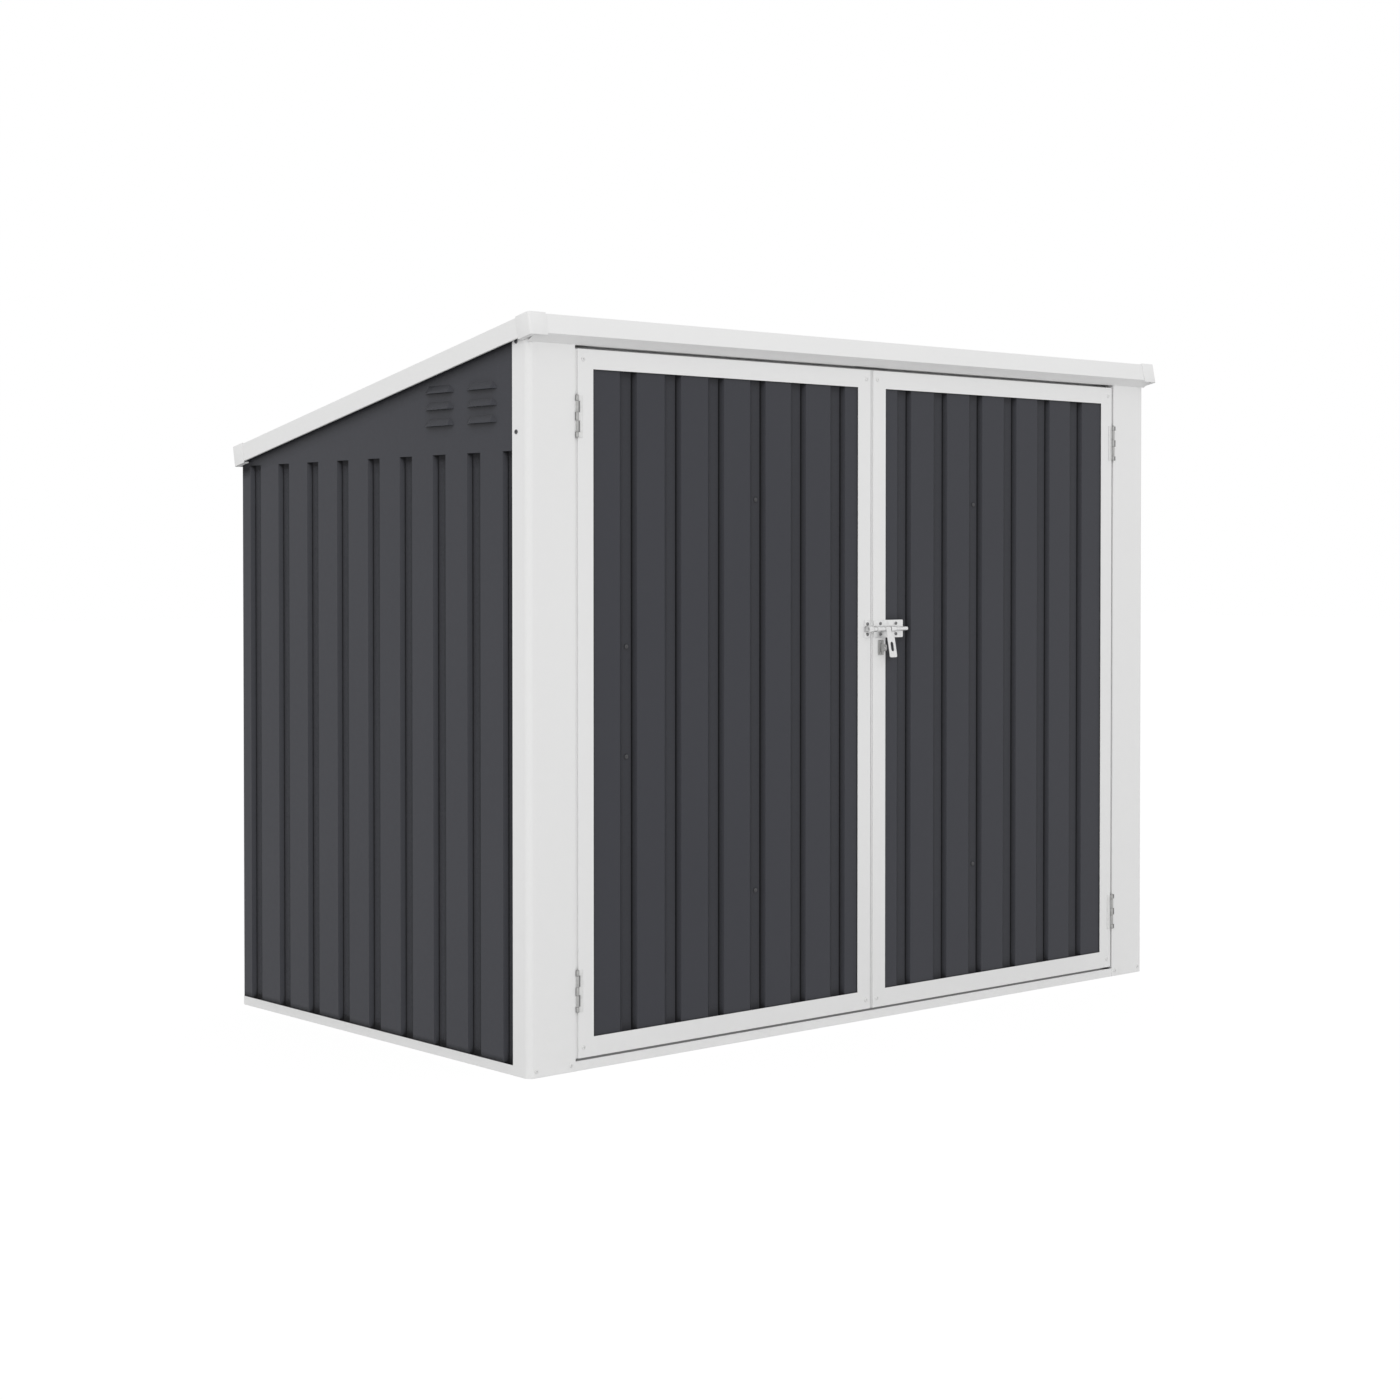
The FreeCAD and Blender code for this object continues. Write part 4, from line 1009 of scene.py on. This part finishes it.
@dataclass
class Latch:
    """Slide bolt on the meeting stiles: plate, guides, keeper, rod, hanging hasp and staple."""

    materials: Materials
    height: float = 772.0
    edge_r: float = 0.3
    fine_edge_r: float = 0.25
    rod_y: float = -7.5
    rod_r: float = 4.0
    rod_x: Span = (-2.5, 92.0)
    rod_sides: int = 40
    rod_tip: float = 1.1
    collars: Spans = ((26.7, 27.7), (41.3, 42.3))
    collar_rise: float = 1.0
    plate_x: Span = (5.0, 87.0)
    plate_half: float = 17.5
    plate_t: float = 1.2
    plate_corner: float = 2.2
    guides: Spans = ((5.5, 13.0), (44.0, 60.0))
    guide_r: Span = (4.3, 5.5)
    keeper_x: Span = (-22.0, -4.0)
    keeper_straps: Spans = ((-19.5, -6.5),)
    keeper_r: Span = (5.6, 6.8)
    strap_steps: int = 16
    eye_end: float = 41.0
    eye_r: float = 5.4
    eye_sweep_deg: float = -305.0
    eye_steps: int = 24
    tab_x: Span = (28.0, 48.0)
    tab_t: float = 1.3
    tab_corner: float = 3.0
    shoulder: float = 8.0
    shoulder_corner: float = 2.0
    reach: float = 58.0
    slot_half: float = 4.0
    slot_z: Span = (27.0, 46.0)
    slot_round: float = 0.99
    lean_deg: float = 11.0
    staple_x: float = 25.0
    staple_drop: float = 37.0
    staple_half: Span = (8.0, 15.0)
    staple_t: float = 1.0
    lug_half: Span = (1.5, 7.0)
    lug_y: float = -16.0
    lug_corner: float = 4.5
    hole_y: float = -12.0
    hole_r: float = 2.75
    hole_sides: int = 32
    hole_reach: float = 5.0

    def plate(self, name: str, x: Span, z: Span, thick: float) -> Bench:
        """Model a flat plate with round corners on the doors' face.

        Args:
            name: the plate's name.
            x: its ends.
            z: its foot and its top.
            thick: its thickness.

        Returns:
            The plate.
        """
        plate = Bench.box(name, x, (-thick, 0.0), z)
        plate.edges(lambda mid, along: abs(along.y) > ALONG).bevel(self.plate_corner, 5)
        return plate.tidy()

    def strap(self, x: Span, radii: Span) -> Bench:
        """Model a strap that arches over the rod.

        Args:
            x: its edges.
            radii: inside and outside radius of the arch.

        Returns:
            The strap.
        """
        sole = -self.plate_t / 2
        inner, outer = (self.height - radius for radius in radii)
        strap = Bench.box("strap", x, (self.rod_y, sole), (outer, inner))
        strap.faces(lambda mid, normal: normal.y < -ALONG)
        strap.spin(-180.0, (0.0, self.rod_y, self.height), X_AXIS, self.strap_steps)
        strap.extrude(y=sole - self.rod_y)
        return strap.tidy().soften(self.edge_r)

    def plates(self) -> None:
        """Make the bolt's plate with its two guides, and the keeper on the other door."""
        for node, side, x, radii, straps in (
                ("bolt_plate", Side.RIGHT, self.plate_x, self.guide_r, self.guides),
                ("bolt_keeper", Side.LEFT, self.keeper_x, self.keeper_r, self.keeper_straps)):
            plate = self.plate(f"{node}_dressed", x, about(self.height, self.plate_half),
                               self.plate_t)
            plate.soften(self.edge_r).join(*[self.strap(span, radii) for span in straps])
            plate.coat(self.materials[Slot.LATCH]).finish(side.door, Slot.LATCH, node)

    def rod(self) -> None:
        """Make the rod with a collar on each side of the hasp."""
        start, end = self.rod_x
        rod = Bench.bar("bolt_rod_dressed", self.rod_r, (start, self.rod_y, self.height),
                        (end, self.rod_y, self.height), self.rod_sides)
        rod.slice(X_AXIS, *(limit for span in self.collars for limit in span))
        rod.faces(lambda mid, normal: abs(normal.x) < NEAR and within(mid.x, self.collars))
        bpy.ops.mesh.extrude_region_shrink_fatten(
            TRANSFORM_OT_shrink_fatten={"value": self.collar_rise * MM})
        rod.edges(lambda mid, along: abs(along.x) < NEAR
                  and not start + NEAR <= mid.x <= end - NEAR).bevel(self.rod_tip, 4)
        rod.tidy().soften(self.fine_edge_r)
        rod.coat(self.materials[Slot.LATCH]).finish("bolt", Slot.LATCH, "bolt_rod")

    def hasp(self) -> None:
        """Make the slotted tab, rolled round the rod at its top and leaning out."""
        front = self.rod_y - self.eye_r
        top, foot = self.height - self.shoulder, self.height - self.reach
        left, right = self.tab_x
        tab = Bench.box("hasp_tab_dressed", self.tab_x, (front, front + self.tab_t), (foot, top))
        tab.slice(X_AXIS, self.eye_end)
        tab.faces(lambda mid, normal: normal.z > ALONG and mid.x < self.eye_end)
        tab.extrude(z=self.shoulder)
        tab.spin(self.eye_sweep_deg, (0.0, self.rod_y, self.height), X_AXIS, self.eye_steps)
        tab.tidy()
        tab.edges(lambda mid, along: abs(along.y) > ALONG and mid.z < foot + NEAR
                  and not left + 1.0 < mid.x < right - 1.0).bevel(self.tab_corner, 5)
        tab.edges(lambda mid, along: abs(along.y) > ALONG and abs(mid.z - top) < NEAR
                  and mid.x > right - NEAR).bevel(self.shoulder_corner, 4)
        high, low = (self.height - drop for drop in self.slot_z)
        slot = Bench.box("hasp_slot", about((left + right) / 2, self.slot_half),
                         (front - 2.0, front + 4.0), (low, high))
        slot.edges(lambda mid, along: abs(along.y) > ALONG)
        slot.bevel(self.slot_half * self.slot_round, 8)
        tab.cut_out(slot.tidy()).tidy().soften(self.edge_r)
        pivot = Matrix.Translation(Vector((0.0, self.rod_y, self.height)) * MM)
        lean = Matrix.Rotation(math.radians(-self.lean_deg), 4, "X")
        tab.moved(pivot @ lean @ pivot.inverted())
        tab.coat(self.materials[Slot.LATCH]).finish("hasp", Slot.LATCH, "hasp_tab")

    def staple(self) -> None:
        """Make the drilled staple for a padlock."""
        middle = self.height - self.staple_drop
        wide, tall = self.staple_half
        thick, high = self.lug_half
        plate = self.plate("padlock_staple_dressed", about(self.staple_x, wide),
                           about(middle, tall), self.staple_t).soften(self.fine_edge_r)
        lug = Bench.box("staple_lug", about(self.staple_x, thick),
                        (self.lug_y, -self.staple_t / 2), about(middle, high))
        lug.edges(lambda mid, along: abs(along.x) > ALONG and mid.y < self.lug_y + NEAR)
        lug.bevel(self.lug_corner, 6)
        start, end = about(self.staple_x, self.hole_reach)
        hole = Bench.bar("staple_hole", self.hole_r, (start, self.hole_y, middle),
                         (end, self.hole_y, middle), self.hole_sides)
        hole.slice(X_AXIS, self.staple_x)
        lug.tidy().cut_out(hole).tidy().soften(self.fine_edge_r)
        # The staple takes the darker zinc, painted shade for the shadow that it lies in.
        plate.join(lug).coat(self.materials[Coat.BARREL])
        plate.finish(Side.RIGHT.door, Slot.LATCH, "padlock_staple")

    def build(self) -> None:
        """Make every piece of the latch."""
        self.plates()
        self.rod()
        self.hasp()
        self.staple()


@dataclass
class RoofCaps:
    """Moulded caps over the corners of the roof trims."""

    materials: Materials
    slope_deg: float = 11.42
    eave_z: float = 1298.0
    outer_x: float = -862.3
    leg: float = 38.0
    wall: float = 1.8
    front_u: float = -24.3
    rear_u: float = 989.2
    foot: float = -4.0
    crown: float = 37.3
    corner_r: float = 4.0
    rim_r: float = 1.2
    edge_r: float = 0.35
    sole_x: float = -850.5

    def pattern(self) -> Bench:
        """Model the front left cap flat, before it is laid on the slope.

        Returns:
            The cap.
        """
        end_x = self.outer_x + self.leg
        end_u = self.front_u + self.leg
        cap = Bench.box("roof_cap", (self.outer_x, end_x), (self.front_u, end_u),
                        (self.foot, self.crown))
        cap.edges(lambda mid, along: abs(along.z) > ALONG and mid.x < self.outer_x + NEAR
                  and mid.y < self.front_u + NEAR).bevel(self.corner_r, 6)
        cap.faces(lambda mid, normal: normal.x > ALONG or normal.y > ALONG or normal.z < -ALONG)
        bpy.ops.mesh.delete(type="FACE")
        cap.edges(lambda mid, along: mid.z > self.crown - NEAR and abs(along.z) < NEAR
                  and mid.x < end_x - 0.5 and mid.y < end_u - 0.5).bevel(self.rim_r, 3)
        cap.tidy().modifier("SOLIDIFY", thickness=self.wall * MM, offset=-1.0,
                            use_even_offset=True)
        inner = self.wall / 2
        sole = Bench.box("cap_sole", (self.outer_x + inner, self.sole_x),
                         (self.front_u + inner, end_u), (self.foot, self.foot + self.wall))
        sole.edges(lambda mid, along: abs(along.z) > ALONG and mid.x < self.sole_x - 1.0
                   and mid.y < self.front_u + 1.0).bevel(self.corner_r - inner, 5)
        return cap.tidy().soften(self.edge_r).join(sole.tidy())

    def build(self) -> None:
        """Make the four caps and lay them on the roof."""
        pattern = self.pattern()
        lay = Matrix.Translation((0.0, 0.0, self.eave_z * MM))
        lay = lay @ Matrix.Rotation(math.radians(-self.slope_deg), 4, "X")
        across = (self.front_u + self.rear_u) * MM
        for side in Side:
            for end, way, slide in (("front", 1.0, 0.0), ("rear", -1.0, across)):
                spot = lay @ Matrix.Translation((0.0, slide, 0.0))
                spot = spot @ Matrix.Diagonal((side.sign, way, 1.0, 1.0))
                cap = pattern.copy(f"{end}_{side.value}_roof_cap", spot)
                cap.coat(self.materials[Slot.CAP])
                cap.finish("carcass", Slot.CAP, f"roof_cap_{end}_{side.value}")
        pattern.drop()


@dataclass
class Studio:
    """Camera, light, floor and white surround."""

    eye: Point = (-3.4067, -3.83279, 0.9048)
    pitch_deg: float = 89.0
    yaw_deg: float = -41.359
    lens: float = 62.17
    sensor: float = 36.0
    shift_y: float = -0.0686
    sight: float = 200.0
    sky: float = 0.925
    floor_size: float = 60.0
    floor_gap: float = 0.0008
    floor_colour: Colour = (0.64, 0.64, 0.64)
    floor_glow: float = 1.05
    glow_share: float = 0.92
    stand_half: Span = (0.84, 0.47)
    stand_y: float = 0.0038
    stand_edge: float = 0.01
    shaded: float = 0.86
    key_place: Point = (-9.5, -10.5, 3.0)
    key_aim: Point = (0.0, 0.0, 0.7)
    key_size: float = 6.0
    key_power: float = 300.0

    def build(self) -> None:
        """Make the camera, the surround, the lamp and the floor."""
        self.camera()
        self.surround()
        self.lamp()
        self.floor()

    def camera(self) -> None:
        """Camera at the photograph's angle."""
        data = bpy.data.cameras.new("camera")
        data.sensor_width = self.sensor
        data.lens = self.lens
        data.shift_y = self.shift_y
        data.clip_end = self.sight
        camera = bpy.data.objects.new("camera", data)
        camera.location = self.eye
        camera.rotation_euler = (math.radians(self.pitch_deg), 0.0, math.radians(self.yaw_deg))
        bpy.context.scene.collection.objects.link(camera)
        bpy.context.scene.camera = camera

    def surround(self) -> None:
        """Even light from all round, white where it is seen directly or in a reflection."""
        tree = Tree(bpy.data.worlds.new("surround"), "ShaderNodeOutputWorld")
        light, white = (tree.node("ShaderNodeBackground", None, {"Color": WHITE, "Strength": glow})
                        for glow in (self.sky, 1.0))
        mixed = tree.node("ShaderNodeMixShader", None, {0: tree.seen(), 1: light, 2: white})
        bpy.context.scene.world = tree.close(mixed)
        bpy.context.scene.view_settings.view_transform = "Standard"

    def lamp(self) -> None:
        """One large soft lamp, far off on the camera's side."""
        data = bpy.data.lights.new("key_softbox", "AREA")
        data.size = self.key_size
        data.energy = self.key_power
        lamp = bpy.data.objects.new("key_softbox", data)
        lamp.location = self.key_place
        aim = Vector(self.key_aim) - Vector(self.key_place)
        lamp.rotation_euler = aim.to_track_quat("-Z", "Y").to_euler()
        bpy.context.scene.collection.objects.link(lamp)

    def floor(self) -> None:
        """Pale floor, white where it is seen, but plain under the store, whose inside is dark."""
        Bench.clear()
        bpy.ops.mesh.primitive_plane_add(size=self.floor_size,
                                         location=(0.0, 0.0, -self.floor_gap))
        ground = bpy.context.object
        ground.name = "floor"
        tree = Tree.named("pale_floor")
        matt = tree.node("ShaderNodeBsdfDiffuse", None, {"Color": self.floor_colour})
        glow = tree.node("ShaderNodeEmission", None,
                         {"Color": WHITE, "Strength": self.floor_glow})
        under: Value = self.shaded
        for offset, half in zip((tree.at("X"), tree.at("Y") - self.stand_y), self.stand_half):
            edge = offset.math("ABSOLUTE").band(half - self.stand_edge, half + self.stand_edge)
            under = under * (1.0 - edge)
        share = tree.seen() * (1.0 - under) * self.glow_share
        mixed = tree.node("ShaderNodeMixShader", None, {0: share, 1: matt, 2: glow})
        ground.data.materials.append(tree.close(mixed))


@dataclass
class Dresser:
    """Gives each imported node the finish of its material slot."""

    materials: Materials

    def dress(self, frame: Dict[str, Any]) -> None:
        """Assign the materials.
        """
        slots = {part["node"]: part["material_slot"] for part in frame["record"]["subparts"]}
        for name, piece in frame["nodes"].items():
            finish = self.materials[Slot(slots[name])]
            if not piece.material_slots:
                piece.data.materials.append(finish)
            for slot in piece.material_slots:
                slot.material = finish
            LOG.info("dressed %s in %s", name, finish.name)


def main() -> None:
    """Load the frame, dress it, add the detailed pieces and light the scene."""
    logging.basicConfig(level=logging.INFO, format="%(name)s: %(message)s")
    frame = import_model()
    materials = {key: finish.material() for key, finish in FINISHES.items()}
    Dresser(materials).dress(frame)
    for assembly in (RoofCaps, Hinges, Latch, Screws):
        assembly(materials).build()
    Studio().build()


if __name__ == "__main__":
    main()
